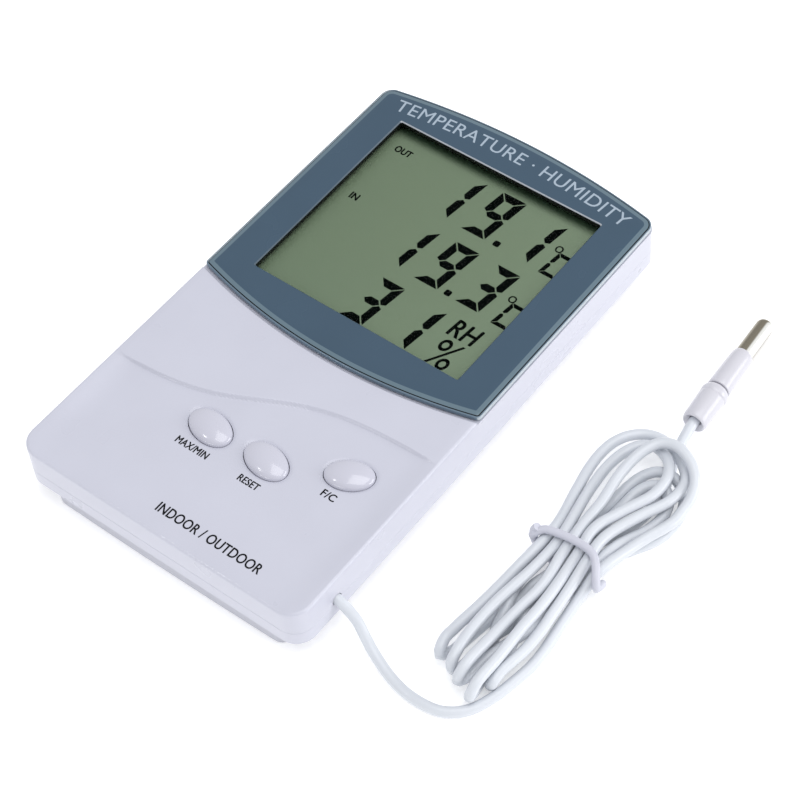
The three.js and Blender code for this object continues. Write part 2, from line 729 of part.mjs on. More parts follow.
// A point on the probe's axis, `along` it from its rear end, in the instrument's frame.
function probeAxis(probe, along) {
  return new THREE.Vector3(0, 0, along).applyEuler(probe.rotation).add(probe.position).toArray();
}

function lead(probe) {
  const { y, z } = LEAD_EXIT;
  const onTable = LEAD_RADIUS + 0.2;
  const fromCase = [
    [37, y, z], [42, y, z], [46, y, z], [48.4, y, z - 0.6], [52.6, y - 0.3, 9.2], [59.4, y - 2.8, 4.4],
    [68.8, 9.3, onTable], [77.3, 8.8, onTable], [84.4, 11, onTable], [89.4, 16.5, onTable],
  ];
  const top = layerHeight(1, HANK.upperS);
  const toProbe = [
    hankPoint(27, 13.2, top),
    hankPoint(33, 12.4, top),
    hankPoint(39.4, 8.8, top),
    hankPoint(45, 3.4, top),
    hankPoint(49, 0, top - 0.3),
    probeAxis(probe, -1),
    probeAxis(probe, 6),
    probeAxis(probe, 18),
    probeAxis(probe, 31),
  ];
  place("probe_lead", sweep([...fromCase, ...hank(), ...toProbe], LEAD_RADIUS, 1, 3), leadVinyl);

  const collar = cut(
    crossRod(41.4, 44.6, y, z, 2.6, 20),
    crossRod(40, 46, y, z, LEAD_RADIUS + 0.15, 12),
  );
  place("lead_collar", collar, whiteSatin);
  const boardUnder = BOARD.under - 0.45;
  const core = (side, toX) => sweep([
    [36.6, y + 0.8 * side, z], [33, y + 3 + side, z - 0.3], [toX + 1, 24, z - 0.8],
    [toX, 28, z - 0.6], [toX, 29.5, boardUnder],
  ], 0.5, 3, 3);
  place("lead_wire_1", core(1, 28), redWire);
  place("lead_wire_2", core(-1, 23), blackWire);
}

function probePieces(probe) {
  const bore = LEAD_RADIUS + 0.25;
  const rear = [[bore, 0], [3.2, 0], [3.7, 0.8], [4, 11], [3.2, 13], [bore, 13], [bore, 0]];
  place("probe_rear_sleeve", turned(rear, 24), whiteGloss, probe);
  const front = [
    [bore, 13.3], [3.4, 13.3], [3.4, 16], [3.1, 27], [2.85, 27.3], [2.85, 20], [bore, 20], [bore, 13.3],
  ];
  place("probe_front_sleeve", turned(front, 24), whiteGloss, probe);
  const outer = 2.5;
  const inner = 2;
  const tip = 40.6;
  const capProfile = [[inner, 20.4], [outer, 20.4], [outer, tip - 2.2]];
  for (let i = 1; i <= 4; i++) {
    const angle = (Math.PI / 8) * i;
    capProfile.push([outer * Math.cos(angle), tip - 2.2 + 2.2 * Math.sin(angle)]);
  }
  capProfile.push([0, tip - 0.6], [inner, tip - 2.4], [inner, 20.4]);
  place("probe_cap", turned(capProfile, 24), steel, probe);
  const bead = [[0, 32], [0.6, 32], [0.9, 34], [1.2, 35.5], [0.9, 37], [0, 37.6]];
  place("probe_thermistor", turned(bead, 14), blackEpoxy, probe);
}

// The tie is a twist tie: once round the hank, with its two ends side by side on the left.
function cableTie() {
  const halfWidth = HANK.waist + LEAD_RADIUS + TIE_RADIUS + 0.4;
  const low = TIE_RADIUS + 0.05;
  const high = layerHeight(1, 0) + LEAD_RADIUS + TIE_RADIUS + 0.2;
  const middle = (low + high) / 2;
  const halfHeight = (high - low) / 2;
  const points = [];
  const pieces = 28;
  for (let i = 0; i <= pieces; i++) {
    const angle = Math.PI * (0.93 - (1.9 * i) / pieces);
    const c = Math.cos(angle);
    const s = Math.sin(angle);
    const across = halfWidth * Math.sign(c) * Math.abs(c) ** 0.3;
    const z = middle + halfHeight * Math.sign(s) * Math.abs(s) ** 0.3;
    points.push(hankPoint(1.4 - (2.8 * i) / pieces, across, z));
  }
  place("cable_tie", sweep(points, TIE_RADIUS, 1, 4), leadVinyl);
}

// ---- Assembly -------------------------------------------------------------------------------

frontCover();
display();
KEYS.forEach(keyCap);
rearCover();
stand();
batteryDoor();
power();
electronics();
screws();
const probe = probeGroup();
lead(probe);
probePieces(probe);
cableTie();

export default group;
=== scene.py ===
"""Looks of a digital indoor and outdoor maximum minimum thermometer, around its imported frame.

Shapes are written in millimetres, with y measured up from the bottom end of the case and z from
its back. The Builder class moves them into the frame, in metres.
"""

import functools
import math

import bmesh
import bpy
import numpy as np
from mathutils import Matrix, Vector
from mathutils.geometry import delaunay_2d_cdt


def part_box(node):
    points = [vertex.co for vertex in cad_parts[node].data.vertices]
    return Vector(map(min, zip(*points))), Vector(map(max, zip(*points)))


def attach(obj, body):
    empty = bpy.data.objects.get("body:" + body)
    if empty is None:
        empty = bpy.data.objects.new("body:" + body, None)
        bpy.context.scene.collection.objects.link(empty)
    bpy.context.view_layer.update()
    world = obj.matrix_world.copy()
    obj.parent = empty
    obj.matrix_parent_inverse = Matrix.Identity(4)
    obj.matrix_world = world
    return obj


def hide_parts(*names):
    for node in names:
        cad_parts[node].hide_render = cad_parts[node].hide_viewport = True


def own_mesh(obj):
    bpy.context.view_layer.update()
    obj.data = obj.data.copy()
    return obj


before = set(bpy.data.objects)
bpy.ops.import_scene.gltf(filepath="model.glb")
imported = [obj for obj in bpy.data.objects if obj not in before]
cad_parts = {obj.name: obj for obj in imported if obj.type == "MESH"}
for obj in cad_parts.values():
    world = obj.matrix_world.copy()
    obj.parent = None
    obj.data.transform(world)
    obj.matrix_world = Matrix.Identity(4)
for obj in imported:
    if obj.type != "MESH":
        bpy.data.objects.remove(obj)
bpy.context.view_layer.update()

# ---- Driving dimensions, in millimetres ----

MM = 0.001
BASE_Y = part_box("front_cover")[0].y / MM


@functools.cache
def bench(node):
    """Lowest and highest corner of a CAD node, in millimetres from the bottom end."""
    return [np.array(corner) / MM - (0, BASE_Y, 0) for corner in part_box(node)]


CASE = bench("front_cover")
BEZEL = bench("display_bezel")
GLASS = bench("lcd_panel")

# Case outline.
TOP_BULGE = 4
CASE_LENGTH = CASE[1][1] - TOP_BULGE
HALF_BOTTOM = CASE[1][0]
HALF_TOP = HALF_BOTTOM - 0.66
BOTTOM_CORNER = 6
TOP_CORNER = 4
TOP_CORNER_TURN = math.radians(10.6)

# Front cover.
PARTING = CASE[0][2]
COVER_TOP = CASE[1][2]
COVER_WALL = 2
COVER_UNDERSIDE = 17.8
EDGE_ROUND = 0.9
SEAT = BEZEL[0][2] - 0.25
# A fine moulded line round the wall: distance in, and height.
WALL_LINE = ((0, 12.1), (0.07, 12.2), (0.07, 12.35), (0, 12.45))
# The S-shaped step: its middle, its half rise and its reach; its depth; how far from the sides it
# fades out; the run of its steep part, that part's share of the depth, and the reach of the rest.
STEP_MIDDLE = (-4, 48.2)
STEP_RISE = 10
STEP_REACH = 20
STEP_DEPTH = 1.15
STEP_FADE = 8
STEP_RUN = 0.85
STEP_STEEP = 0.8
STEP_TAIL = 5
# The step is half as deep at the foot of the cover, and full from here up.
STEP_FULL = 30
# Depth and width of the small rounds at the key holes and along the bezel.
HOLE_ROUND = (0.25, 0.35)
ARC_ROUND = (0.22, 0.4)
# Rows of points that carry the surface: distances below the step and below the bezel, and outside
# the key holes, and the pitch of the points along them and of the coarse grid between them.
STEP_ROWS = (-0.8, -0.3, -0.1, 0.1, 0.3, 0.5, 0.7, 0.9, 1.1, 1.4, 1.9, 2.7, 3.8)
ARC_ROWS = (0.15, 0.35, 0.6, 1.0)
HOLE_ROWS = (0.12, 0.3, 0.55, 0.95, 1.6)
FINE_PITCH = 1.1
COARSE_PITCH = 2.2

# Bezel and window.
BEZEL_CORNER_Y = 75
BEZEL_CORNER_SLOPE = math.radians(15.5)
BEZEL_CORNER = 1.5
BEZEL_GAP = 0.2
BEZEL_TOP = BEZEL[1][2] - 0.06
WINDOW = {"half": 34.6, "bottom": 82, "top": 147.2}

# Keys: half length, half width and tilt in degrees of each oval.
KEYS = {
    "max_min_button": (7.3, 4.7, -12),
    "reset_button": (7.3, 4.7, -12),
    "unit_button": (6.8, 4.7, 24),
}
KEY_GAP = 0.2

# Screw bosses under the cover.
SCREWS = (1, 2, 3, 4)
BOSSES = {
    "case": {"outer": 2.2, "pilot": 1.4, "under": 7.4, "roof": 14},
    "board": {"outer": 2.2, "pilot": 1.05, "under": 15.05, "roof": 17.5},
}


# ---- Outlines: closed rings of (x, y), counterclockwise ----

QUARTER = math.pi / 2


def line(start, end, pieces):
    return np.linspace(start, end, pieces, endpoint=False)


def arc(centre_x, centre_y, radius, start, end, pieces):
    """Part of a circle between two angles in radians, without its last point."""
    angles = np.linspace(start, end, pieces, endpoint=False)
    return np.column_stack((centre_x + radius * np.cos(angles), centre_y + radius * np.sin(angles)))


def parabola(start, control, end, pieces):
    t = np.linspace(0, 1, pieces, endpoint=False)[:, None]
    return (1 - t) ** 2 * np.array(start) + 2 * t * (1 - t) * np.array(control) + t**2 * np.array(end)


def oval(centre_x, centre_y, length, width, tilt, pieces=64):
    ring = arc(0, 0, 1, 0, 2 * math.pi, pieces) * (length, width)
    c, s = math.cos(math.radians(tilt)), math.sin(math.radians(tilt))
    return ring @ np.array(((c, s), (-s, c))) + (centre_x, centre_y)


def circle(x, y, radius, pieces=32):
    return arc(x, y, radius, 0, 2 * math.pi, pieces)


def round_rect(x0, x1, y0, y1, radius, pieces=6):
    return np.vstack((
        arc(x1 - radius, y0 + radius, radius, -QUARTER, 0, pieces),
        arc(x1 - radius, y1 - radius, radius, 0, QUARTER, pieces),
        arc(x0 + radius, y1 - radius, radius, QUARTER, 2 * QUARTER, pieces),
        arc(x0 + radius, y0 + radius, radius, 2 * QUARTER, 3 * QUARTER, pieces),
    ))


def grown(ring, out):
    """An outline moved outwards by a small distance, or inwards by a negative one."""
    ahead = np.roll(ring, -1, 0) - ring
    ahead /= np.linalg.norm(ahead, axis=1, keepdims=True)
    normal = np.column_stack((ahead[:, 1], -ahead[:, 0]))
    back = np.roll(normal, 1, 0)
    return ring + out * (normal + back) / (1 + (normal * back).sum(1, keepdims=True))


def half_at(y):
    return HALF_BOTTOM + (HALF_TOP - HALF_BOTTOM) * y / CASE_LENGTH


def top_edge(inset):
    """The upper corners and the bulging top edge, from the right side to the left."""
    radius = max(TOP_CORNER - inset, 0.5)
    x = HALF_TOP - inset - radius
    y = CASE_LENGTH - inset - radius
    turn = math.pi / 2 - TOP_CORNER_TURN
    right = (x + radius * math.cos(turn), y + radius * math.sin(turn))
    peak = (0, right[1] + right[0] * math.tan(TOP_CORNER_TURN))
    return np.vstack((
        arc(x, y, radius, 0, turn, 10),
        parabola(right, peak, (-right[0], right[1]), 48),
        arc(-x, y, radius, math.pi - turn, math.pi, 10),
    ))


def case_outline(inset=0.0):
    low = BOTTOM_CORNER - inset
    half = HALF_BOTTOM - inset
    side = HALF_TOP - inset
    corner = half - low
    top = CASE_LENGTH - max(TOP_CORNER, inset + 0.5)
    return np.vstack((
        line((-corner, inset), (corner, inset), 40),
        arc(corner, inset + low, low, -QUARTER, 0, 14),
        line((half, inset + low), (side, top), 80),
        top_edge(inset),
        line((-side, top), (-half, inset + low), 80),
        arc(-corner, inset + low, low, 2 * QUARTER, 3 * QUARTER, 14),
    ))


def bezel_outline(inset):
    slope = BEZEL_CORNER_SLOPE
    lift = 1 / math.cos(slope) - math.tan(slope)
    radius = max(BEZEL_CORNER - inset, 0.3)
    x = half_at(BEZEL_CORNER_Y) - inset - radius
    y = BEZEL_CORNER_Y + (inset + radius) * lift
    right = (x + radius * math.sin(slope), y - radius * math.cos(slope))
    dip = (0, right[1] - right[0] * math.tan(slope))
    side = HALF_TOP - inset
    top = CASE_LENGTH - max(TOP_CORNER, inset + 0.5)
    return np.vstack((
        parabola((-right[0], right[1]), dip, right, 60),
        arc(x, y, radius, slope - QUARTER, 0, 6),
        line((x + radius, y), (side, top), 40),
        top_edge(inset),
        line((-side, top), (-x - radius, y), 40),
        arc(-x, y, radius, math.pi, 3 * QUARTER - slope, 6),
    ))


def bezel_arc(x):
    """Height up the case of the bezel's dipped lower edge."""
    return BEZEL_CORNER_Y + (x**2 / HALF_BOTTOM**2 - 1) * HALF_BOTTOM * math.tan(BEZEL_CORNER_SLOPE) / 2


def window_outline(inset=0.0):
    half = WINDOW["half"] - inset
    return round_rect(-half, half, WINDOW["bottom"] + inset, WINDOW["top"] - inset, 0.6)


# ---- Mesh building ----

def inside(points, ring):
    """Whether each point lies inside a closed ring."""
    x, y = points[:, 0, None], points[:, 1, None]
    ax, ay = ring[:, 0], ring[:, 1]
    bx, by = np.roll(ring, -1, 0).T
    crosses = (ay > y) != (by > y)
    span = np.where(by == ay, 1, by - ay)
    return (crosses & (x < (bx - ax) * (y - ay) / span + ax)).sum(1) % 2 == 1


INSIDE_EDGE = 1


def heights(z, x, y):
    """Heights at (x, y) of a level, or of a surface z(x, y)."""
    return z(x, y) if callable(z) else np.full(np.shape(x), float(z))


class Builder:
    """Collects the points and faces of one closed mesh, in bench millimetres."""

    def __init__(self):
        self.points = []
        self.faces = []
        self.marks = []

    def loop(self, places):
        """A closed ring of points."""
        start = len(self.points)
        self.points.extend(places)
        return np.arange(start, start + len(places))

    def ring(self, outline, z):
        """A closed ring of points on a level or a surface z(x, y)."""
        return self.loop(np.column_stack((outline, heights(z, *outline.T))))

    def hoop(self, centre, side, up, radius, pieces):
        """A round ring of points about a centre, in the plane of two directions."""
        angles = np.linspace(0, 2 * math.pi, pieces, endpoint=False)[:, None]
        return self.loop(centre + radius * (np.cos(angles) * side - np.sin(angles) * up))

    def strip(self, first, second, mark=0):
        """A band of faces between two rings of the same length."""
        for a, b, c, d in zip(first, np.roll(first, -1), np.roll(second, -1), second):
            self.faces.append((int(a), int(b), int(c), int(d)))
            self.marks.append(mark)

    def bands(self, rings, mark=0):
        for first, second in zip(rings, rings[1:]):
            self.strip(first, second, mark)

    def lid(self, ring):
        """One flat face over a ring."""
        self.faces.append(tuple(ring.tolist()))
        self.marks.append(0)

    def sleeve(self, rings, mark=0):
        """Bands through several rings of (outline, z), given from below on the outside."""
        made = [self.ring(outline, z) for outline, z in rings]
        self.bands(made, mark)
        return made[0], made[-1]

    def cap(self, edge, holes=(), up=True, grid=(), height=None, mark=0):
        """Fills a ring, around its holes, with triangles through the grid's points."""
        known = np.concatenate([edge, *holes])
        flat = [Vector(self.points[i][:2]) for i in known] + [Vector(point) for point in grid]
        segments = []
        for loop in (edge, *holes):
            first = len(segments)
            segments += [(first + i, first + (i + 1) % len(loop)) for i in range(len(loop))]
        made, _, triangles, origins, _, _ = delaunay_2d_cdt(flat, segments, [], INSIDE_EDGE, 1e-6)
        places = np.array([point[:] for point in made])
        corners = np.array(triangles)
        outlines = np.array(self.points)[:, :2]
        for hole in holes:
            corners = corners[~inside(places[corners].mean(1), outlines[hole])]
        numbers = np.full(len(places), -1)
        for number, origin in enumerate(origins):
            if origin and origin[0] < len(known):
                numbers[number] = known[origin[0]]
        fresh = np.array([i for i in np.unique(corners) if numbers[i] < 0], int)
        if len(fresh):
            numbers[fresh] = len(self.points) + np.arange(len(fresh))
            x, y = places[fresh].T
            self.points.extend(np.column_stack((x, y, height(x, y))))
        a, b, c = places[corners].transpose(1, 0, 2)
        turn = (b[:, 0] - a[:, 0]) * (c[:, 1] - a[:, 1]) - (b[:, 1] - a[:, 1]) * (c[:, 0] - a[:, 0])
        flipped = (turn > 0) != up
        corners[flipped] = corners[flipped][:, ::-1]
        self.faces += [tuple(triangle) for triangle in numbers[corners].tolist()]
        self.marks += [mark] * len(corners)

    def prism(self, rings, holes=()):
        """A closed solid through rings of (outline, z) from below, with holes straight through.

        Each hole is (outline, mark) and takes the heights of the lowest and highest ring."""
        low, high = self.sleeve(rings)
        below, above = [], []
        for outline, mark in holes:
            wall_low = self.ring(outline, rings[0][1])
            wall_high = self.ring(outline, rings[-1][1])
            self.strip(wall_high, wall_low, mark)
            below.append(wall_low)
            above.append(wall_high)
        self.cap(low, below, up=False)
        self.cap(high, above)
        return self

    def mesh(self, name):
        made = bpy.data.meshes.new(name)
        points = (np.array(self.points) + (0, BASE_Y, 0)) * MM
        made.from_pydata(points.tolist(), [], self.faces)
        made.polygons.foreach_set("material_index", self.marks)
        made.update()
        return made

    def add(self, name):
        return add_object(name, self.mesh(name))


def add_object(name, data):
    made = bpy.data.objects.new(name, data)
    bpy.context.scene.collection.objects.link(made)
    return made


def weld(mesh):
    """Joins the doubled points along a mesh's edges."""
    work = bmesh.new()
    work.from_mesh(mesh)
    bmesh.ops.remove_doubles(work, verts=work.verts, dist=1e-4)
    bmesh.ops.dissolve_degenerate(work, edges=work.edges, dist=1e-4)
    work.to_mesh(mesh)
    work.free()


def soften(mesh, sharp):
    mesh.shade_smooth()
    mesh.set_sharp_from_angle(angle=math.radians(sharp))


def boolean(base, tools, operation="DIFFERENCE"):
    """Cuts or joins closed objects, and removes the tools."""
    group = bpy.data.collections.new("tools")
    for tool in tools:
        group.objects.link(tool)
    modifier = base.modifiers.new("shape", "BOOLEAN")
    modifier.operation = operation
    modifier.solver = "MANIFOLD"
    modifier.operand_type = "COLLECTION"
    modifier.collection = group
    bpy.context.view_layer.update()
    depsgraph = bpy.context.evaluated_depsgraph_get()
    result = bpy.data.meshes.new_from_object(base.evaluated_get(depsgraph))
    base.modifiers.clear()
    result.materials.clear()
    base.data = result
    for tool in tools:
        bpy.data.objects.remove(tool)
    bpy.data.collections.remove(group)


QUARTER_TURN = np.radians((0, 30, 60, 90))


def soft_prism(outline, low, high, edge_low=0.3, edge_high=0.3):
    """A prism whose lower and upper edges are rounded."""
    below = [(grown(outline, edge_low * (math.sin(turn) - 1)), low + edge_low * (1 - math.cos(turn)))
             for turn in QUARTER_TURN]
    above = [(grown(outline, edge_high * (math.sin(turn) - 1)), high - edge_high * (1 - math.cos(turn)))
             for turn in reversed(QUARTER_TURN)]
    return Builder().prism(below + above)


def prism_tool(outline, low, high):
    return Builder().prism([(outline, low), (outline, high)]).add("tool")


def block_tool(x0, x1, y0, y1, low, high, corner=0.3):
    return prism_tool(round_rect(x0, x1, y0, y1, corner, 3), low, high)


def opening(outline, roof, rim=0.35):
    """A tool that cuts an opening with a rounded rim into the back face."""
    rings = [(grown(outline, rim), -1)]
    for turn in QUARTER_TURN:
        rings.append((grown(outline, rim * (1 - math.sin(turn))), rim * (1 - math.cos(turn))))
    rings.append((outline, roof))
    return Builder().prism(rings).add("tool")


def tube(name, path, radius, pieces=14):
    """A closed round bar along a path, with the least twist."""
    path = np.array(path, float)
    ahead = np.gradient(path, axis=0)
    ahead /= np.linalg.norm(ahead, axis=1, keepdims=True)
    side = np.cross(ahead[0], (0.0, 0.0, 1.0))
    builder = Builder()
    rings = []
    for place, forward in zip(path, ahead):
        side = side - forward * (side @ forward)
        side /= np.linalg.norm(side)
        rings.append(builder.hoop(place, side, np.cross(side, forward), radius, pieces))
    builder.bands(rings)
    builder.lid(rings[0][::-1])
    builder.lid(rings[-1])
    return builder.add(name)


def rod_tool(x0, x1, y, z, radius, pieces=32):
    """A round bar along x."""
    return tube("tool", [(x0, y, z), (x1, y, z)], radius, pieces)


def turned(name, profile, origin, direction, pieces=56):
    """A turned solid through rings of (along, radius) about an axis, and back to the first ring."""
    side = np.cross(direction, (0.0, 0.0, 1.0))
    side /= np.linalg.norm(side)
    up = np.cross(side, direction)
    builder = Builder()
    rings = [builder.hoop(origin + along * direction, side, up, radius, pieces)
             for along, radius in profile]
    builder.bands([*rings, rings[0]])
    return builder.add(name)


def finish_piece(obj, material, body, *nodes, slot=None, sharp=32):
    """Shades a piece, gives it its finish and lets it ride on a body in place of CAD nodes."""
    for item in material if isinstance(material, (list, tuple)) else [material]:
        obj.data.materials.append(item)
    if obj.type == "MESH":
        soften(obj.data, sharp)
    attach(obj, body)
    if nodes:
        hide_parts(*nodes)
    return obj


# ---- Materials ----

class Nodes:
    """A short way to write a material's node tree."""

    def __init__(self, name):
        self.material = bpy.data.materials.new(name)
        self.material.use_nodes = True
        self.tree = self.material.node_tree
        self.shader = self.tree.nodes["Principled BSDF"]

    def add(self, kind, **inputs):
        node = self.tree.nodes.new(kind)
        for key, value in inputs.items():
            self.put(node, key, value)
        return node

    def put(self, node, key, value):
        """Sets a node's property or input, or links another node's output to it.

        Inputs that share a name are given by number, as i0, i1 and so on."""
        if hasattr(node, key):
            setattr(node, key, value)
            return
        socket = node.inputs[int(key[1:]) if key[1:].isdigit() else key]
        if isinstance(value, bpy.types.NodeSocket):
            self.tree.links.new(value, socket)
        else:
            socket.default_value = value

    def surface(self, **inputs):
        for key, value in inputs.items():
            self.put(self.shader, key.replace("_", " "), value)

    def place(self):
        return self.add("ShaderNodeTexCoord").outputs["Object"]

    def noise(self, scale, detail=3.0, stretch=(1, 1, 1)):
        mapped = self.add("ShaderNodeMapping", Vector=self.place(), Scale=stretch)
        made = self.add("ShaderNodeTexNoise", Vector=mapped.outputs[0], Scale=scale, Detail=detail)
        return made.outputs["Fac"]

    def ramp(self, value, start, end, low=0.0, high=1.0, kind="LINEAR"):
        """A number that runs from low to high as a value runs from start to end."""
        made = self.add("ShaderNodeMapRange", Value=value, interpolation_type=kind)
        for socket, number in zip(made.inputs[1:5], (start, end, low, high)):
            socket.default_value = number
        return made.outputs[0]

    def between(self, noise, low, high):
        """A number that runs from low to high over the range of a noise."""
        return self.ramp(noise, 0.3, 0.7, low, high)

    def facing(self, direction, start, end):
        """How far a surface faces a direction, from 0 at `start` to 1 at `end`."""
        normal = self.add("ShaderNodeTexCoord").outputs["Normal"]
        turned_to = self.add("ShaderNodeVectorMath", operation="DOT_PRODUCT", i0=normal, i1=direction)
        return self.ramp(turned_to.outputs["Value"], start, end, kind="SMOOTHSTEP")

    def mix(self, factor, first, second):
        made = self.add("ShaderNodeMix", data_type="RGBA")
        for slot, value in (("i0", factor), ("i6", first), ("i7", second)):
            self.put(made, slot, value)
        return made.outputs[2]

    def bump(self, height, strength, distance):
        made = self.add("ShaderNodeBump", Height=height, Strength=strength, Distance=distance)
        return made.outputs[0]


def shade(colour, factor=1.0):
    """Linear colour from an sRGB triple of 0 to 255."""
    values = []
    for part in colour:
        part = min(part * factor, 255) / 255
        values.append(part / 12.92 if part <= 0.04045 else ((part + 0.055) / 1.055) ** 2.4)
    return (*values, 1.0)


def moulded(name, colour, roughness, spread=0.015, grain=0.02, coat=0.0, specular=0.5, scale=900):
    """Moulded plastic: faint uneven colour, uneven sheen and a fine surface grain."""
    nodes = Nodes(name)
    cloud = nodes.noise(60)
    fine = nodes.noise(scale, 2)
    tint = nodes.mix(cloud, shade(colour, 1 - spread), shade(colour, 1 + spread))
    nodes.surface(
        Base_Color=tint,
        Roughness=nodes.between(cloud, roughness * 0.88, roughness * 1.12),
        Specular_IOR_Level=specular,
        Coat_Weight=coat,
        Coat_Roughness=0.06,
        Normal=nodes.bump(fine, grain, 0.00006),
    )
    return nodes.material


def clear_window():
    """Clear sheet: it lets light straight through and reflects a little of its surroundings."""
    nodes = Nodes("clear_window")
    through = nodes.add("ShaderNodeBsdfTransparent", Color=(0.97, 0.985, 0.975, 1))
    shine = nodes.add("ShaderNodeBsdfGlossy", Roughness=nodes.between(nodes.noise(80), 0.02, 0.05))
    angle = nodes.add("ShaderNodeFresnel", IOR=1.08)
    mixed = nodes.add("ShaderNodeMixShader", i0=angle.outputs[0])
    nodes.put(mixed, "i1", through.outputs[0])
    nodes.put(mixed, "i2", shine.outputs[0])
    output = nodes.tree.nodes["Material Output"]
    nodes.tree.links.new(mixed.outputs[0], output.inputs["Surface"])
    return nodes.material


# How far the bezel's painted shadow reaches down the display.
LCD_SHADE = 3.6


def lcd_glass():
    """Reflective liquid crystal glass: grey-green, a little darker to the left, with the bezel's shadow
    painted in along its top.
    """
    nodes = Nodes("lcd_glass")
    across, height, _ = nodes.add("ShaderNodeSeparateXYZ", Vector=nodes.place()).outputs
    to_right = nodes.ramp(across, GLASS[0][0] * MM, GLASS[1][0] * MM)
    tint = nodes.mix(to_right, shade((112, 126, 105)), shade((124, 138, 117)))
    mottled = nodes.mix(nodes.between(nodes.noise(25), 0.0, 0.25), tint, shade((120, 132, 106)))
    top = BASE_Y + WINDOW["top"]
    # Painted shadow of the bezel: the colour darkens towards the window's top edge.
    shadow = nodes.ramp(height, (top - LCD_SHADE) * MM, top * MM, kind="SMOOTHSTEP")
    shaded = nodes.mix(shadow, mottled, shade((42, 56, 42)))
    nodes.surface(
        Base_Color=shaded,
        Roughness=0.35,
        Specular_IOR_Level=0.25,
        Normal=nodes.bump(nodes.noise(1500, 2), 0.008, 0.00003),
    )
    return nodes.material


def brushed(name, colour, roughness, stretch):
    """Drawn or turned metal with fine streaks."""
    nodes = Nodes(name)
    streak = nodes.noise(250, 4, stretch)
    nodes.surface(
        Base_Color=nodes.mix(streak, shade(colour, 0.94), shade(colour, 1.05)),
        Metallic=1.0,
        Roughness=nodes.between(streak, roughness * 0.8, roughness * 1.25),
        Normal=nodes.bump(streak, 0.05, 0.00003),
    )
    return nodes.material


def painted_highlight_edge(name, direction, colour, lit_colour):
    """Edge of the clear front plate with a painted highlight: its colour turns pale where it faces a given
    direction, in place of a light's reflection.
    """
    nodes = Nodes(name)
    mottled = nodes.mix(nodes.noise(120), shade(colour, 0.94), shade(colour, 1.06))
    nodes.surface(
        Base_Color=nodes.mix(nodes.facing(direction, 0.3, 0.8), mottled, shade(lit_colour)),
        Roughness=0.3,
        Coat_Weight=0.5,
        Coat_Roughness=0.06,
    )
    return nodes.material


def probe_metal():
    """Polished steel with a painted reflection: dark grey-brown for the dark room it would mirror, and near
    white on its right half for a white panel, where it is also less metallic.
    """
    nodes = Nodes("probe_metal")
    streak = nodes.noise(250, 4, (4, 0.4, 4))
    # Painted reflection: the side facing right and up is painted near white.
    painted_reflection = nodes.facing((0.79, 0, 0.6), 0.72, 0.86)
    steel = nodes.mix(painted_reflection, shade((140, 133, 118)), shade((226, 226, 222)))
    nodes.surface(
        Base_Color=nodes.mix(nodes.between(streak, 0.0, 0.12), steel, shade((90, 88, 82))),
        Metallic=nodes.between(painted_reflection, 0.8, 0.35),
        Roughness=nodes.between(streak, 0.22, 0.34),
        Normal=nodes.bump(streak, 0.05, 0.00003),
    )
    return nodes.material


WHITE_GLOSS = moulded("white_gloss", (193, 194, 207), 0.3, coat=0.25)
WHITE_SATIN = moulded("white_satin", (184, 185, 195), 0.46, grain=0.08)
KEY_GLOSS = moulded("key_gloss", (193, 193, 206), 0.2, coat=0.7, grain=0.01)
BEZEL_GLAZE = moulded("bezel_glaze", (60, 81, 99), 0.26, spread=0.03, coat=0.3, grain=0.01, specular=0.2)
# The band inside the bezel's edge is a paler copy of its glaze: painted sheen for light caught in the clear
# plate's rounded edge.
BEZEL_EDGE_PAINTED_SHEEN = moulded("bezel_edge_painted_sheen", (94, 114, 126), 0.26, spread=0.03, coat=0.3, grain=0.01, specular=0.3)
# Painted highlights: the bezel's lip is paler where it faces the side light, and the window's chamfer where
# it faces the foot and up.
BEZEL_LIP_PAINTED_HIGHLIGHT = painted_highlight_edge("bezel_lip_painted_highlight", (1, 0, 0), (90, 110, 127), (168, 178, 186))
WINDOW_EDGE_PAINTED_HIGHLIGHT = painted_highlight_edge("window_edge_painted_highlight", (0, -0.9, 0.4), (62, 80, 94), (160, 166, 174))
# Near-black painted shade, for the deep wall inside the window and the groove behind the bezel's lip.
PAINTED_SHADE_BLACK = moulded("painted_shade_black", (14, 18, 16), 0.4, specular=0.2)
PRINT_BLACK = moulded("print_black", (16, 16, 20), 0.5, specular=0.1)
PRINT_PALE = moulded("print_pale", (160, 174, 188), 0.5, specular=0.2)
LCD_SEGMENT = moulded("lcd_segment", (5, 8, 7), 0.6, specular=0.0)
LEAD_VINYL = moulded("lead_vinyl", (205, 209, 216), 0.34, coat=0.2, scale=600)
TIE_VINYL = moulded("tie_vinyl", (194, 195, 207), 0.4, coat=0.1)
SLEEVE = moulded("sleeve_white", (200, 199, 207), 0.32, coat=0.3)
DARK_RUBBER = moulded("dark_rubber", (58, 60, 63), 0.75, grain=0.06)
BOARD_GREEN = moulded("board_green", (30, 104, 58), 0.45, spread=0.12, scale=300)
BLACK_EPOXY = moulded("black_epoxy", (22, 23, 25), 0.35, grain=0.05)
CELL_JACKET = moulded("cell_jacket", (82, 104, 120), 0.3, coat=0.4)
WIRE_RED = moulded("wire_red", (176, 40, 44), 0.42)
WIRE_BLACK = moulded("wire_black", (32, 32, 34), 0.42)
PROBE_METAL = probe_metal()
SCREW_STEEL = brushed("screw_steel", (178, 179, 182), 0.3, (1, 1, 6))
SPRING_STEEL = brushed("spring_steel", (190, 190, 188), 0.28, (1, 1, 6))
LCD_GLASS = lcd_glass()
CLEAR = clear_window()


# ---- Front cover ----

def smooth(value):
    t = np.clip(value, 0, 1)
    return t * t * (3 - 2 * t)


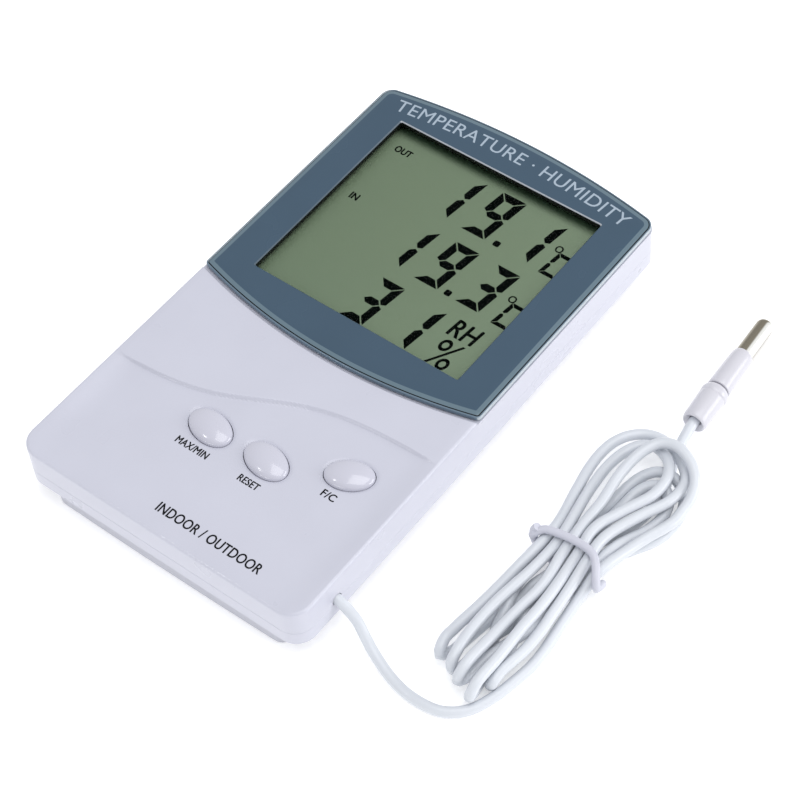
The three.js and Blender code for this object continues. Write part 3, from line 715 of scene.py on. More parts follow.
def step_line(x):
    """Height up the case of the S-shaped step: low on the left, rising to the right."""
    return STEP_MIDDLE[1] + STEP_RISE * np.tanh((x - STEP_MIDDLE[0]) / STEP_REACH)


def middle(node):
    """The middle of a CAD node's box."""
    return sum(bench(node)) / 2


def key_oval(node, out, pieces=64):
    """A key's outline, grown by a distance."""
    length, width, tilt = KEYS[node]
    return oval(*middle(node)[:2], length + out, width + out, tilt, pieces)


def key_distance(x, y, node):
    """Roughly how far a point lies from the edge of a key's hole."""
    length, width, tilt = KEYS[node]
    right, up = x - middle(node)[0], y - middle(node)[1]
    c, s = math.cos(math.radians(tilt)), math.sin(math.radians(tilt))
    along, across = right * c + up * s, up * c - right * s
    reach = np.hypot(along / (length + KEY_GAP), across / (width + KEY_GAP))
    return np.abs(reach - 1) * width


def edge_round(distance, depth, width):
    """How far the surface drops near an edge."""
    return depth * np.exp(-((distance / width) ** 2))


def cover_height(x, y):
    """Height of the cover's outer surface: a soft step, and small rounds at its openings."""
    below = step_line(x) - y
    fade = np.sin(QUARTER * np.clip((HALF_TOP - np.abs(x)) / STEP_FADE, 0, 1))
    relax = 0.5 + 0.5 * smooth(y / STEP_FULL)
    steep = smooth((below + 0.1) / STEP_RUN)
    tail = 1 - np.exp(-np.maximum(below, 0) / STEP_TAIL)
    drop = STEP_DEPTH * fade * relax * (STEP_STEEP * steep + (1 - STEP_STEEP) * tail)
    for node in KEYS:
        drop = drop + edge_round(key_distance(x, y, node), *HOLE_ROUND)
    return COVER_TOP - drop - edge_round(bezel_arc(x) - y, *ARC_ROUND)


def cover_grid():
    """Points that carry the cover's surface, closer together at the step and the openings."""
    across = np.arange(-HALF_TOP + 2.6, HALF_TOP - 2.5, FINE_PITCH)
    rows = [np.column_stack((across, step_line(across) - below)) for below in STEP_ROWS]
    rows += [np.column_stack((across, bezel_arc(across) - below)) for below in ARC_ROWS]
    for node in KEYS:
        rows += [key_oval(node, KEY_GAP + out, 56) for out in HOLE_ROWS]
    fine = np.vstack(rows)
    columns, lines = np.arange(-44, 45, COARSE_PITCH), np.arange(3, 72, COARSE_PITCH)
    coarse = np.stack(np.meshgrid(columns, lines), -1).reshape(-1, 2)
    coarse = coarse[inside(coarse, case_outline(EDGE_ROUND + 1.0))]
    coarse = coarse[coarse[:, 1] < bezel_arc(coarse[:, 0]) - 2]
    for node in KEYS:
        coarse = coarse[~inside(coarse, key_oval(node, HOLE_ROWS[-1]))]
    near = np.linalg.norm(coarse[:, None] - fine[None], axis=2).min(1)
    return np.vstack((fine, coarse[near > FINE_PITCH]))


def cover_blank():
    """The cover with its key holes and display opening, before the bezel's seat is cut."""
    builder = Builder()
    rings = [
        (case_outline(COVER_WALL), COVER_UNDERSIDE),
        (case_outline(COVER_WALL), PARTING),
        (case_outline(0.25), PARTING),
        (case_outline(0), PARTING + 0.25),
        *[(case_outline(inset), height) for inset, height in WALL_LINE],
    ]
    for turn in np.radians((0, 18, 36, 54, 72, 90)):
        out = EDGE_ROUND * (1 - math.cos(turn))
        down = EDGE_ROUND * (1 - math.sin(turn))
        rings.append((case_outline(out), lambda x, y, d=down: cover_height(x, y) - d))
    under, top = builder.sleeve(rings)
    holes_above, holes_below = [], []
    for outline in [window_outline(-2.3)] + [key_oval(node, KEY_GAP) for node in KEYS]:
        high = builder.ring(outline, cover_height)
        low = builder.ring(outline, COVER_UNDERSIDE)
        builder.strip(high, low)
        holes_above.append(high)
        holes_below.append(low)
    builder.cap(top, holes_above, grid=cover_grid(), height=cover_height)
    builder.cap(under, holes_below, up=False)
    return builder.add("cover_shell")


def screw_places(kind):
    return [middle(f"{kind}_screw_{number}")[:2] for number in SCREWS]


def front_cover():
    cover = cover_blank()
    seat = prism_tool(bezel_outline(-1), SEAT, COVER_TOP + 2)
    hole = rod_tool(HALF_BOTTOM - 5, HALF_BOTTOM + 5, *middle("lead_collar")[1:], 1.7)
    boolean(cover, [seat, hole])
    bosses, pilots = [], []
    for kind, boss in BOSSES.items():
        for place in screw_places(kind):
            bosses.append(prism_tool(circle(*place, boss["outer"]), boss["under"], COVER_UNDERSIDE + 0.3))
            pilots.append(prism_tool(circle(*place, boss["pilot"], 16), boss["under"] - 1, boss["roof"]))
    boolean(cover, bosses, "UNION")
    boolean(cover, pilots)
    finish_piece(cover, WHITE_GLOSS, "case", "front_cover", slot="white_gloss")


# ---- Display ----

# The bezel's finishes, in the order of its material slots: its glaze, near-black painted shade, a band of
# painted sheen, and the painted highlights of its lip and window chamfer.
BEZEL_FINISHES = [BEZEL_GLAZE, PAINTED_SHADE_BLACK, BEZEL_EDGE_PAINTED_SHEEN, BEZEL_LIP_PAINTED_HIGHLIGHT, WINDOW_EDGE_PAINTED_HIGHLIGHT]
# WALL is the near-black painted shade; EDGE, LIP and CHAMFER carry painted light.
GLAZE, WALL, EDGE, LIP, CHAMFER = range(5)

# The bezel's edge from its rounded lip inwards: distance in, depth below the face, and finish. The lip
# takes a painted highlight, its groove painted shade (WALL) and the band inside it painted sheen (EDGE).
LIP_ROUND = 0.3
LIP_DROP = 0.3
LIP_PROFILE = [
    (0.44, 0.3, LIP), (0.54, 0.46, LIP), (0.66, 0.46, WALL), (0.78, 0.3, WALL), (1.2, 0.2, EDGE),
    (2.0, 0.1, EDGE), (2.6, 0.05, GLAZE), (3.4, 0.01, GLAZE), (4.0, 0, GLAZE),
]
WINDOW_CHAMFER = 0.3


def display_bezel():
    """A clear-fronted plate with a soft outer edge. The wall inside its window and the groove behind its
    lip are near-black painted shade; the lip, the window's chamfer and a band inside the edge carry painted
    light.
    """
    builder = Builder()
    low = BEZEL[0][2]
    rings = [(bezel_outline(BEZEL_GAP + 0.25), low), (bezel_outline(BEZEL_GAP), low + 0.25)]
    for turn in np.radians((0, 25, 50, 75, 90)):
        out = BEZEL_GAP + LIP_ROUND * (1 - math.cos(turn))
        rings.append((bezel_outline(out), BEZEL_TOP - LIP_DROP - LIP_ROUND * (1 - math.sin(turn))))
    under, lip = builder.sleeve(rings, LIP)
    edges = [lip]
    for out, down, mark in LIP_PROFILE:
        edges.append(builder.ring(bezel_outline(BEZEL_GAP + out), BEZEL_TOP - down))
        builder.strip(edges[-2], edges[-1], mark)
    window = [
        builder.ring(window_outline(-WINDOW_CHAMFER), BEZEL_TOP),
        builder.ring(window_outline(), BEZEL_TOP - WINDOW_CHAMFER),
        builder.ring(window_outline(), low),
    ]
    builder.strip(window[0], window[1], CHAMFER)
    builder.strip(window[1], window[2], WALL)
    builder.cap(edges[-1], [window[0]])
    builder.cap(under, [window[2]], up=False)
    plate = builder.add("bezel_plate")
    finish_piece(plate, BEZEL_FINISHES, "case", "display_bezel", slot="bezel_glaze", sharp=25)


# Lit segments of each figure: a top, b and c right, d bottom, e and f left, g middle.
SEGMENTS_OF = {"1": "bc", "3": "abcdg", "9": "abcdfg", "C": "adef"}


def segment_outline(name, x0, x1, y0, y1, stroke):
    """One segment of a seven-segment digit: a bar with mitred ends."""
    gap = 0.11 * stroke
    half = stroke / 2
    middle = (y0 + y1) / 2
    if name == "g":
        reach0, reach1 = x0 + half + gap, x1 - half - gap
        return [(reach0, middle), (reach0 + half, middle - half), (reach1 - half, middle - half),
                (reach1, middle), (reach1 - half, middle + half), (reach0 + half, middle + half)]
    if name in "ad":
        edge, sign = (y1, -1) if name == "a" else (y0, 1)
        inner = edge + sign * stroke
        return [(x0 + gap, edge), (x1 - gap, edge), (x1 - stroke - gap, inner), (x0 + stroke + gap, inner)]
    edge, sign = (x1, -1) if name in "bc" else (x0, 1)
    low, high = (middle, y1) if name in "bf" else (y0, middle)
    inner = edge + sign * stroke
    if name in "bf":
        return [(edge, high - gap), (edge, low + half / 2 + gap), (edge + sign * half, low + gap),
                (inner, low + half + gap), (inner, high - stroke - gap)]
    return [(edge, low + gap), (edge, high - half / 2 - gap), (edge + sign * half, high - gap),
            (inner, high - half - gap), (inner, low + stroke + gap)]


def counterclockwise(ring):
    ring = np.array(ring, float)
    ahead = np.roll(ring, -1, 0)
    area = (ring[:, 0] * ahead[:, 1] - ahead[:, 0] * ring[:, 1]).sum()
    return ring if area > 0 else ring[::-1]


def lean(ring, foot, slant):
    """Leans an outline to the right, about its foot."""
    return np.column_stack((ring[:, 0] + (ring[:, 1] - foot) * slant, ring[:, 1]))


def digit(builder, figure, x0, x1, y0, y1, z0, z1, stroke=2.45):
    """A leaning seven-segment figure that fills the box."""
    slant = 0.13
    width = x1 - x0 - (y1 - y0) * slant
    for name in SEGMENTS_OF[figure]:
        ring = segment_outline(name, x0, x0 + width, y0, y1, stroke)
        ring = lean(counterclockwise(ring), y0, slant)
        builder.prism([(ring, z0), (ring, z1)])


def lcd_figures():
    builder = Builder()
    z0, z1 = GLASS[1][2] + 0.02, GLASS[1][2] + 0.05
    rows = [
        ("1", -11.6, -1.4, 127.2, 144), ("9", 1.6, 12, 126.8, 144), ("1", 16.2, 26.4, 126.6, 143.4),
        ("1", -11.6, -1.3, 105.6, 122), ("9", 1.8, 12.1, 105.2, 122), ("3", 15.9, 26, 105.1, 121.8),
        ("3", -7.2, 3, 83.6, 100.4), ("1", 7.4, 17.4, 83.6, 100.4),
    ]
    for figure, x0, x1, y0, y1 in rows:
        digit(builder, figure, x0, x1, y0, y1, z0, z1)
    for x, y in ((13.5, 127.6), (13.1, 106)):
        ring = round_rect(x - 1.0, x + 1.0, y - 1.0, y + 1.0, 0.5)
        builder.prism([(ring, z0), (ring, z1)])
    for foot in (126.2, 104.6):
        digit(builder, "C", 28.4, 35, foot - 0.3, foot + 8.6, z0, z1, 1.25)
    finish_piece(builder.add("lcd_figures"), LCD_SEGMENT, "case", slot="lcd_glass")


# ---- Lettering ----

def letters(text):
    """A text as a flat solid mesh: its points and faces, one unit high and sitting on y 0."""
    curve = bpy.data.curves.new("letters", "FONT")
    curve.body = text
    curve.extrude = 0.5
    curve.space_character = 1.04
    curve.resolution_u = 4
    source = add_object("letters", curve)
    bpy.context.view_layer.update()
    depsgraph = bpy.context.evaluated_depsgraph_get()
    mesh = bpy.data.meshes.new_from_object(source.evaluated_get(depsgraph))
    weld(mesh)
    points = np.array([vertex.co[:] for vertex in mesh.vertices])
    faces = [tuple(polygon.vertices) for polygon in mesh.polygons]
    bpy.data.objects.remove(source)
    bpy.data.curves.remove(curve)
    bpy.data.meshes.remove(mesh)
    return points, faces


# A bold print is three prints that lie a little apart, each a hair above the last.
BOLD_STEPS = ((-1, -0.5, 0.0), (1, -0.5, 0.003), (0, 0.7, 0.006))
PRINT_THICKNESS = 0.03


def print_text(name, text, box, surface, material, bold=0.0, slant=0.0, path=None):
    """Prints a text that fills a box of (x0, x1, y0, y1) on a level or a surface z(x, y)."""
    points, faces = letters(text)
    x0, x1, y0, y1 = box
    low, high = points.min(0), points.max(0)
    share = (points - low) / (high - low)
    builder = Builder()
    for right, up, lift in BOLD_STEPS if bold else ((0, 0, 0.0),):
        x = x0 + share[:, 0] * (x1 - x0) + share[:, 1] * (y1 - y0) * slant + right * bold
        y = y0 + share[:, 1] * (y1 - y0) + up * bold
        if path is not None:
            x, y = path(x, y)
        z = heights(surface, x, y) + np.where(share[:, 2] > 0.5, PRINT_THICKNESS + lift, 0.0)
        first = len(builder.points)
        builder.points.extend(np.column_stack((x, y, z)))
        builder.faces += [tuple(first + corner for corner in face) for face in faces]
    builder.marks = [0] * len(builder.faces)
    finish_piece(builder.add(name), material, "case")


def bezel_path(x, y):
    """Bends a straight line of print to follow the bulging top edge."""
    curve = 2 * TOP_BULGE / HALF_TOP**2
    drop = TOP_BULGE * (x / HALF_TOP) ** 2
    return x + (y - 151) * curve * x, y - drop


# Prints on the cover, and on the display with their boldness and slant.
COVER_PRINTS = {
    "print_max_min": ("MAX/MIN", (-14.4, -4.0, 25.1, 27.3)),
    "print_reset": ("RESET", (6.7, 13.2, 25.1, 27.2)),
    "print_unit": ("F/C", (27.2, 31.4, 33.7, 35.9)),
    "print_foot": ("INDOOR / OUTDOOR", (-4, 30, 5.6, 8.6)),
}
COVER_BOLD = 0.07
LCD_PRINTS = {
    "lcd_out": ("OUT", (-31.5, -26, 139.3, 141.6), 0.1, 0),
    "lcd_in": ("IN", (-31, -28.4, 118.1, 120.4), 0.1, 0),
    "lcd_rh": ("RH", (21, 29, 94.6, 100.5), 0.15, 0.1),
    "lcd_percent": ("%", (21, 28.2, 83.4, 93.4), 0, 0.1),
    "lcd_out_degree": ("o", (27.6, 30, 134.4, 136.9), 0, 0),
    "lcd_in_degree": ("o", (27.6, 30, 112.8, 115.3), 0, 0),
}


def lettering():
    for name, (text, box) in COVER_PRINTS.items():
        print_text(name, text, box, cover_height, PRINT_BLACK, COVER_BOLD)
    title_box = (-39, 39.5, 152.4, 156.8)
    print_text("print_title", "TEMPERATURE · HUMIDITY", title_box, BEZEL_TOP, PRINT_PALE,
               path=bezel_path)
    for name, (text, box, bold, slant) in LCD_PRINTS.items():
        print_text(name, text, box, GLASS[1][2] + 0.02, LCD_SEGMENT, bold, slant)


# ---- Keys ----

def key(name):
    """A domed oval key, with a flange under the cover."""
    node = f"{name}_button"
    length, width, tilt = KEYS[node]
    x, y, _ = middle(node)
    low, high = bench(node)
    flange = 1.2
    crown = high[2] - 0.03
    shoulder = COVER_TOP - STEP_DEPTH - 0.1
    lip = 0.9
    outlines = [(lip, low[2]), (lip, low[2] + flange), (0, low[2] + flange), (0, shoulder - 0.1),
                (-0.03, shoulder)]
    rings = [(key_oval(node, out), z) for out, z in outlines]
    for turn in np.radians((8, 18, 28, 38, 48, 58, 68, 78, 86)):
        c, s = math.cos(turn), math.sin(turn)
        rings.append((oval(x, y, length * c, width * c, tilt), shoulder + (crown - shoulder) * s**0.9))
    made = Builder().prism(rings).add(f"{name}_key")
    finish_piece(made, KEY_GLOSS, node, node, slot="white_gloss", sharp=40)


# Rubber switch domes: share of the height and of the radius, from the foot up.
DOME_PROFILE = ((0.12, 1), (0.28, 0.95), (0.5, 0.76), (0.86, 0.64), (0.97, 0.59), (1, 0.5))


def switch_dome(name):
    """A rubber dome under a key, built at rest: the real one flattens as the key is pressed, but nothing
    here flattens this one.
    """
    low, high = bench(f"{name}_dome")
    x, y, _ = middle(f"{name}_dome")
    radius = (high - low)[0] / 2
    rings = [(circle(x, y, radius), low[2])]
    for rise, reach in DOME_PROFILE:
        rings.append((circle(x, y, radius * reach), low[2] + rise * (high[2] - low[2])))
    made = Builder().prism(rings).add(f"{name}_switch")
    finish_piece(made, DARK_RUBBER, "case", f"{name}_dome", slot="dark_rubber", sharp=40)
    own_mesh(made)


# ---- Rear cover, stand and battery door ----

PLATEAU = {
    "half": 39.6, "corner": 3.5, "end": 2.4, "bulge": 2.9, "foot": 1.8, "foot_bulge": 0.3,
    "round": 0.6, "wall": 2.6, "over": PARTING - 0.1,
}
FLANGE = {"inset": 2.3, "under": 8.6, "over": 10.2}
STAND_RECESS = {
    "half": 16, "bottom": 8, "top": 69, "roof": 3.4, "block": 5, "notch": 5.5, "notch_roof": 2.2,
}
STAND_SHAPE = {
    "half": 15, "tip": 11, "free": 9, "shoulder": 54, "pivot_y": 66, "pivot_z": 1.75, "pin": 1.1,
}
STAND_PANEL = {"half": 8, "bottom": 21, "top": 52, "floor": 1.9}
DOOR_TONGUE = {"reach": 1, "under": 0.8}
DOOR_GUIDE = {"reach": 11, "over": 3.2}
GRIPS = {"count": 5, "from_end": 3.2, "pitch": 2.4, "width": 1.2, "half": 4.5, "depth": 0.6}
PLAY = 0.3
BAY = {"x0": -27.2, "x1": 25.7, "half": 5.6, "roof": 12.5, "wall": 1.2}
POST = {"outer": 3.4, "sink": 2.8, "seat": 3.4, "top": 7.1, "bore": 1.6}
KEYHOLE = {"y": 137, "radius": 4, "slot_y": 144.5, "slot": 2, "roof": 4}
VENTS = {"x0": -35, "x1": -20, "y": 124, "pitch": 3.6, "width": 1.6, "count": 5}


def plateau_outline(inset=0.0, foot_bulge=PLATEAU["foot_bulge"]):
    """The raised middle of the back, with its bulging ends."""
    half = PLATEAU["half"] - inset
    bottom = PLATEAU["foot"] + inset
    top = CASE_LENGTH - PLATEAU["end"] + TOP_BULGE - PLATEAU["bulge"] - inset
    radius = PLATEAU["corner"] - inset
    corner = half - radius
    return np.vstack((
        arc(corner, bottom + radius, radius, -QUARTER, 0, 10),
        line((half, bottom + radius), (half, top - radius), 30),
        arc(corner, top - radius, radius, 0, QUARTER, 10),
        parabola((corner, top), (0, top + 2 * PLATEAU["bulge"]), (-corner, top), 40),
        arc(-corner, top - radius, radius, QUARTER, 2 * QUARTER, 10),
        line((-half, top - radius), (-half, bottom + radius), 30),
        arc(-corner, bottom + radius, radius, 2 * QUARTER, 3 * QUARTER, 10),
        parabola((-corner, bottom), (0, bottom - 2 * foot_bulge), (corner, bottom), 40),
    ))


def rear_ribs(door, door_y):
    """The blocks inside the back: round the stand, the cell, the door's guides and the screw posts."""
    half = STAND_RECESS["half"] + 2.5
    wall = BAY["wall"]
    reach = BAY["half"] + wall
    guide = DOOR_GUIDE["reach"]
    left = 1 - PLATEAU["half"]
    return [
        block_tool(-half, half, STAND_RECESS["bottom"] - 4.5, STAND_RECESS["top"] + 1.5, 1,
                   STAND_RECESS["block"]),
        block_tool(BAY["x0"] - wall, BAY["x1"] + wall, door_y - reach, door_y + reach, 1, BAY["roof"] + 1),
        block_tool(left, door[1][0] + 2, door_y - guide, door_y + guide, 1, DOOR_GUIDE["over"]),
        *[prism_tool(circle(*place, POST["outer"]), 1, POST["top"]) for place in screw_places("case")],
    ]


def keyhole_outline():
    """A round hole that narrows upwards to a slot."""
    radius, slot = KEYHOLE["radius"], KEYHOLE["slot"]
    meet = math.acos(slot / radius)
    return np.vstack((
        arc(0, KEYHOLE["y"], radius, math.pi - meet, 2 * math.pi + meet, 40),
        arc(0, KEYHOLE["slot_y"], slot, 0, math.pi, 16),
        [(-slot, KEYHOLE["slot_y"])],
    ))


def rear_openings(door, door_y):
    half = STAND_RECESS["half"]
    recess = round_rect(-half, half, STAND_RECESS["bottom"], STAND_RECESS["top"], 1.2)
    mouth = -PLATEAU["half"] - 3
    end = door[1][0] + PLAY
    deep = (door[1][1] - door[0][1]) / 2 - DOOR_TONGUE["reach"] + PLAY
    tongue = deep + DOOR_TONGUE["reach"]
    roof = door[1][2] + PLAY
    pivot = (STAND_SHAPE["pivot_y"], STAND_SHAPE["pivot_z"])
    tools = [
        opening(recess, STAND_RECESS["roof"]),
        opening(circle(0, STAND_SHAPE["free"], STAND_RECESS["notch"]), STAND_RECESS["notch_roof"], 0.5),
        rod_tool(-half - 1.9, half + 1.9, *pivot, STAND_SHAPE["pin"] + 0.15),
        opening(round_rect(mouth, end, door_y - deep, door_y + deep, 0.6), roof, 0.2),
        block_tool(mouth, end, door_y - tongue, door_y + tongue, DOOR_TONGUE["under"] - PLAY, roof),
        block_tool(BAY["x0"], BAY["x1"], door_y - BAY["half"], door_y + BAY["half"], 0.5, BAY["roof"], 0.8),
        block_tool(BAY["x0"] - 4, BAY["x0"] + 1, door_y - 1.6, door_y + 1.6, 8.6, 10.6),
        block_tool(BAY["x1"] - 1, BAY["x1"] + 4, door_y - 1.6, door_y + 1.6, 8.6, 10.6),
        opening(keyhole_outline(), KEYHOLE["roof"], 0.3),
    ]
    for number in range(VENTS["count"]):
        low = VENTS["y"] + VENTS["pitch"] * number
        slot = round_rect(VENTS["x0"], VENTS["x1"], low, low + VENTS["width"], 0.75)
        tools.append(opening(slot, KEYHOLE["roof"], 0.2))
    for place in screw_places("case"):
        tools.append(opening(circle(*place, POST["sink"]), POST["seat"], 0.3))
        tools.append(prism_tool(circle(*place, POST["bore"]), 1, POST["top"] + 2))
    return tools


def rear_cover():
    door = bench("battery_door")
    door_y = middle("battery_door")[1]
    over = FLANGE["over"]
    edge = PLATEAU["round"]
    rings = [(plateau_outline(edge * (1 - math.sin(turn))), edge * (1 - math.cos(turn)))
             for turn in np.radians((0, 15, 30, 45, 60, 75, 90))]
    rings.append((plateau_outline(), PLATEAU["over"]))
    cover = Builder().prism(rings).add("rear_shell")
    flange = prism_tool(case_outline(FLANGE["inset"]), FLANGE["under"], over)
    neck = prism_tool(plateau_outline(0.3, 0), PLATEAU["over"] - 1, over - 0.3)
    boolean(cover, [flange, neck], "UNION")
    boolean(cover, [prism_tool(plateau_outline(PLATEAU["wall"], 0), COVER_WALL, over + 1)])
    boolean(cover, rear_ribs(door, door_y), "UNION")
    boolean(cover, rear_openings(door, door_y))
    finish_piece(cover, WHITE_SATIN, "case", "rear_cover", slot="white_satin", sharp=40)


def stand_outline():
    """The leg tapers to a free end with rounded corners."""
    half, tip, free = STAND_SHAPE["half"], STAND_SHAPE["tip"], STAND_SHAPE["free"]
    pivot, shoulder = STAND_SHAPE["pivot_y"], STAND_SHAPE["shoulder"]
    right = np.vstack((
        arc(tip - 3, free + 3, 3, -QUARTER, 0, 10),
        [(tip + 0.1, free + 3.6), (half - 0.3, shoulder - 3), (half, shoulder), (half, pivot)],
    ))
    return np.vstack((right, right[::-1] * (-1, 1)))


def stand():
    low, high = bench("stand")
    half, pivot = STAND_SHAPE["half"], STAND_SHAPE["pivot_y"]
    leg = soft_prism(stand_outline(), low[2], high[2]).add("stand_leg")
    barrel = rod_tool(-half, half, pivot, middle("stand")[2], (high[2] - low[2]) / 2, 48)
    pins = rod_tool(low[0], high[0], pivot, STAND_SHAPE["pivot_z"], STAND_SHAPE["pin"])
    boolean(leg, [barrel, pins], "UNION")
    panel = round_rect(-STAND_PANEL["half"], STAND_PANEL["half"], STAND_PANEL["bottom"],
                       STAND_PANEL["top"], 2)
    boolean(leg, [prism_tool(panel, STAND_PANEL["floor"], high[2] + 1)])
    finish_piece(leg, WHITE_SATIN, "stand", "stand", slot="white_satin", sharp=40)


def battery_door():
    low, high = bench("battery_door")
    reach = DOOR_TONGUE["reach"]
    outline = round_rect(low[0], high[0], low[1] + reach, high[1] - reach, 0.8)
    door = soft_prism(outline, low[2], high[2], 0.25, 0.1).add("door_plate")
    tongues = block_tool(low[0] + 0.3, high[0] - 0.3, low[1], high[1], DOOR_TONGUE["under"],
                         high[2] - 0.05)
    boolean(door, [tongues], "UNION")
    y = middle("battery_door")[1]
    grips = []
    for number in range(GRIPS["count"]):
        x = low[0] + GRIPS["from_end"] + GRIPS["pitch"] * number
        ring = round_rect(x, x + GRIPS["width"], y - GRIPS["half"], y + GRIPS["half"], 0.5)
        grips.append(opening(ring, GRIPS["depth"], 0.2))
        grips[-1].location.z = low[2] * MM
    boolean(door, grips)
    finish_piece(door, WHITE_SATIN, "battery_door", "battery_door", slot="white_satin", sharp=40)


# ---- Lead, hank, tie and probe ----

LEAD_RADIUS = 1.5
LEAD_SPACING = 2.0
HANK = (84.2, 63.3)
HANK_LEAN = 0.07
WAIST_LOW = 4.2
WAIST_HIGH = 7.3
TABLE = LEAD_RADIUS + 0.1
TIE_RADIUS = 1.1


def in_hank(across, along, z):
    """A place in the hank, in bench millimetres: across it and along it from the tie."""
    return (HANK[0] + HANK_LEAN * along + across, HANK[1] + along, z)


def probe_axis():
    """The middle of the rear sleeve and the probe's direction, from the frame."""
    rear = middle("probe_rear_sleeve")
    ahead = middle("probe_thermistor") - rear
    direction = ahead / np.linalg.norm(ahead)
    return rear - 6.5 * direction, direction


def from_case():
    """The lead leaves the right wall and drops to the table in an easy bend."""
    x, y, z = middle("lead_collar")
    wall = [(x, y, z), (x + 4, y, z), (x + 6.2, y + 0.1, z - 1.6), (x + 9.6, y, 9)]
    table = [(59.4, 12.4, 4), (68.8, 9.3, TABLE), (77.3, 8.4, TABLE)]
    return wall + table


# The hank's turns as places (across, along, height), from the case's lead to the probe's. Each turn
# climbs the right side, rounds the far end, comes down the left side and doubles back beneath itself.
HANK_TURNS = [
    (3.4, -53.3, TABLE), (7.4, -48.8, TABLE), (9.7, -40.5, TABLE), (11.2, -29, TABLE),
    (9.3, -16, 1.9), (8.0, -7, 3.4), (7.7, 0, 5.6),
    (9.6, 13, 3.2), (12.9, 23.5, 3.4), (12.8, 30.5, 5), (10.2, 36.6, 7.8), (4.3, 40.3, 9.6),
    (-1.5, 40.6, 9.6), (-4.8, 36, 8.8), (-5.6, 27.2, 7.6), (-3.8, 16.9, 7.2), (-2.7, 7, 7.4),
    (-1.6, 0, WAIST_HIGH),
    (1.0, -12, 7), (0.7, -23, 6.8), (1.0, -34, 7.4), (1.6, -42.5, 7.8), (2.0, -46, 4.7),
    (2.4, -42.5, TABLE), (2.8, -34, TABLE), (3.4, -22, 1.8), (3.2, -10, 3), (3, 0, WAIST_LOW),
    (7, 10, 1.9), (12.2, 20, TABLE), (12, 29, TABLE), (8, 35, TABLE), (3, 36.3, TABLE),
    (-1.5, 34.2, TABLE), (-3.5, 27.7, TABLE), (-3.4, 20.5, 1.8), (-4.2, 10, 3), (-6, 0, WAIST_LOW),
    (-5.5, -10, 2.6), (-2.5, -22, TABLE), (1.5, -33, TABLE), (5, -43.5, TABLE), (6.8, -48.4, 4.4),
    (6.5, -44.5, 7.4), (6.1, -38, 7.4), (5.1, -28, 7), (4.1, -16, 7), (1.5, 0, WAIST_HIGH),
    (-0.2, 8.4, 7.6), (2.1, 17, 7), (5.2, 27, 6), (3.8, 34.5, 5), (-0.4, 38.7, 4.7), (-5, 40.2, 4.7),
    (-8.8, 37.8, 4.7), (-10.8, 30.8, 4.7), (-10, 21.1, 5), (-7.3, 9.9, 6.3), (-4.6, 0, WAIST_HIGH),
    (-4.4, -13, 7), (-5.1, -24.4, 6.8), (-4.4, -34.3, 7.2), (-2.8, -41.5, 7.4), (-1.8, -45, 4.6),
    (-1.3, -41.5, TABLE), (-0.5, -33, TABLE), (2, -22, TABLE), (5, -10, 2.4), (6, 0, WAIST_LOW),
    (8.2, 12, 1.8), (9.8, 20, TABLE), (9, 27, TABLE), (5.5, 31, TABLE), (1.5, 30.6, TABLE),
    (-0.8, 27, TABLE), (-1.4, 20, 1.8), (-1.6, 10, 2.8), (-3, 0, WAIST_LOW),
    (-1.5, -13, 1.9), (3, -27, TABLE), (6.8, -38, TABLE), (8.5, -42.5, 3), (8.2, -38.5, 4.7),
    (8.5, -29, 5), (6.9, -16, 5.6), (4.6, 0, WAIST_HIGH),
    (3.4, 8, 7), (5.9, 19.9, 6), (8.6, 28.1, 5), (7.9, 35.4, 4.7), (3.1, 40.4, 4.7), (-2, 43.2, 4.7),
    (-7, 43.6, 4.7), (-11.6, 41.3, 4.7), (-14.6, 35.7, 4.7), (-14.6, 27.7, 4.7), (-11.8, 16.7, 5),
    (-8.6, 6.9, 6), (-7.6, 0, WAIST_HIGH),
    (-7.9, -10, 6), (-8.6, -24.6, 5), (-9, -34.4, 5), (-8.6, -39, 5.2), (-7.2, -42, 3.3),
    (-6.4, -38.5, TABLE), (-5, -30, TABLE), (-3, -18, TABLE), (-1, -8, 2.6), (0, 0, WAIST_LOW),
    (2, 10, 2), (5, 20, TABLE), (5, 30, TABLE), (2, 38, TABLE), (-0.7, 44.5, 2.4),
]


def through(points, spacing):
    """A smooth curve through points (centripetal Catmull-Rom), cut at an even spacing."""
    points = np.array(points, float)
    ends = (2 * points[0] - points[1], 2 * points[-1] - points[-2])
    path = np.vstack((ends[0], points, ends[1]))
    samples = []
    for a, b, c, d in zip(path, path[1:], path[2:], path[3:]):
        knots = [0.0]
        for first, second in ((a, b), (b, c), (c, d)):
            knots.append(knots[-1] + math.sqrt(np.linalg.norm(second - first)))
        k0, k1, k2, k3 = knots
        t = np.linspace(k1, k2, 12, endpoint=False)[:, None]
        low = a * (k1 - t) / (k1 - k0) + b * (t - k0) / (k1 - k0)
        mid = b * (k2 - t) / (k2 - k1) + c * (t - k1) / (k2 - k1)
        high = c * (k3 - t) / (k3 - k2) + d * (t - k2) / (k3 - k2)
        left = low * (k2 - t) / (k2 - k0) + mid * (t - k0) / (k2 - k0)
        right = mid * (k3 - t) / (k3 - k1) + high * (t - k1) / (k3 - k1)
        samples.append(left * (k2 - t) / (k2 - k1) + right * (t - k1) / (k2 - k1))
    return even(np.vstack((*samples, path[-2])), spacing)


def even(path, spacing):
    """The same path with evenly spaced points."""
    steps = np.linalg.norm(np.diff(path, axis=0), axis=1)
    travel = np.concatenate(([0], np.cumsum(steps)))
    wanted = np.linspace(0, travel[-1], max(2, round(travel[-1] / spacing) + 1))
    return np.column_stack([np.interp(wanted, travel, path[:, axis]) for axis in range(3)])


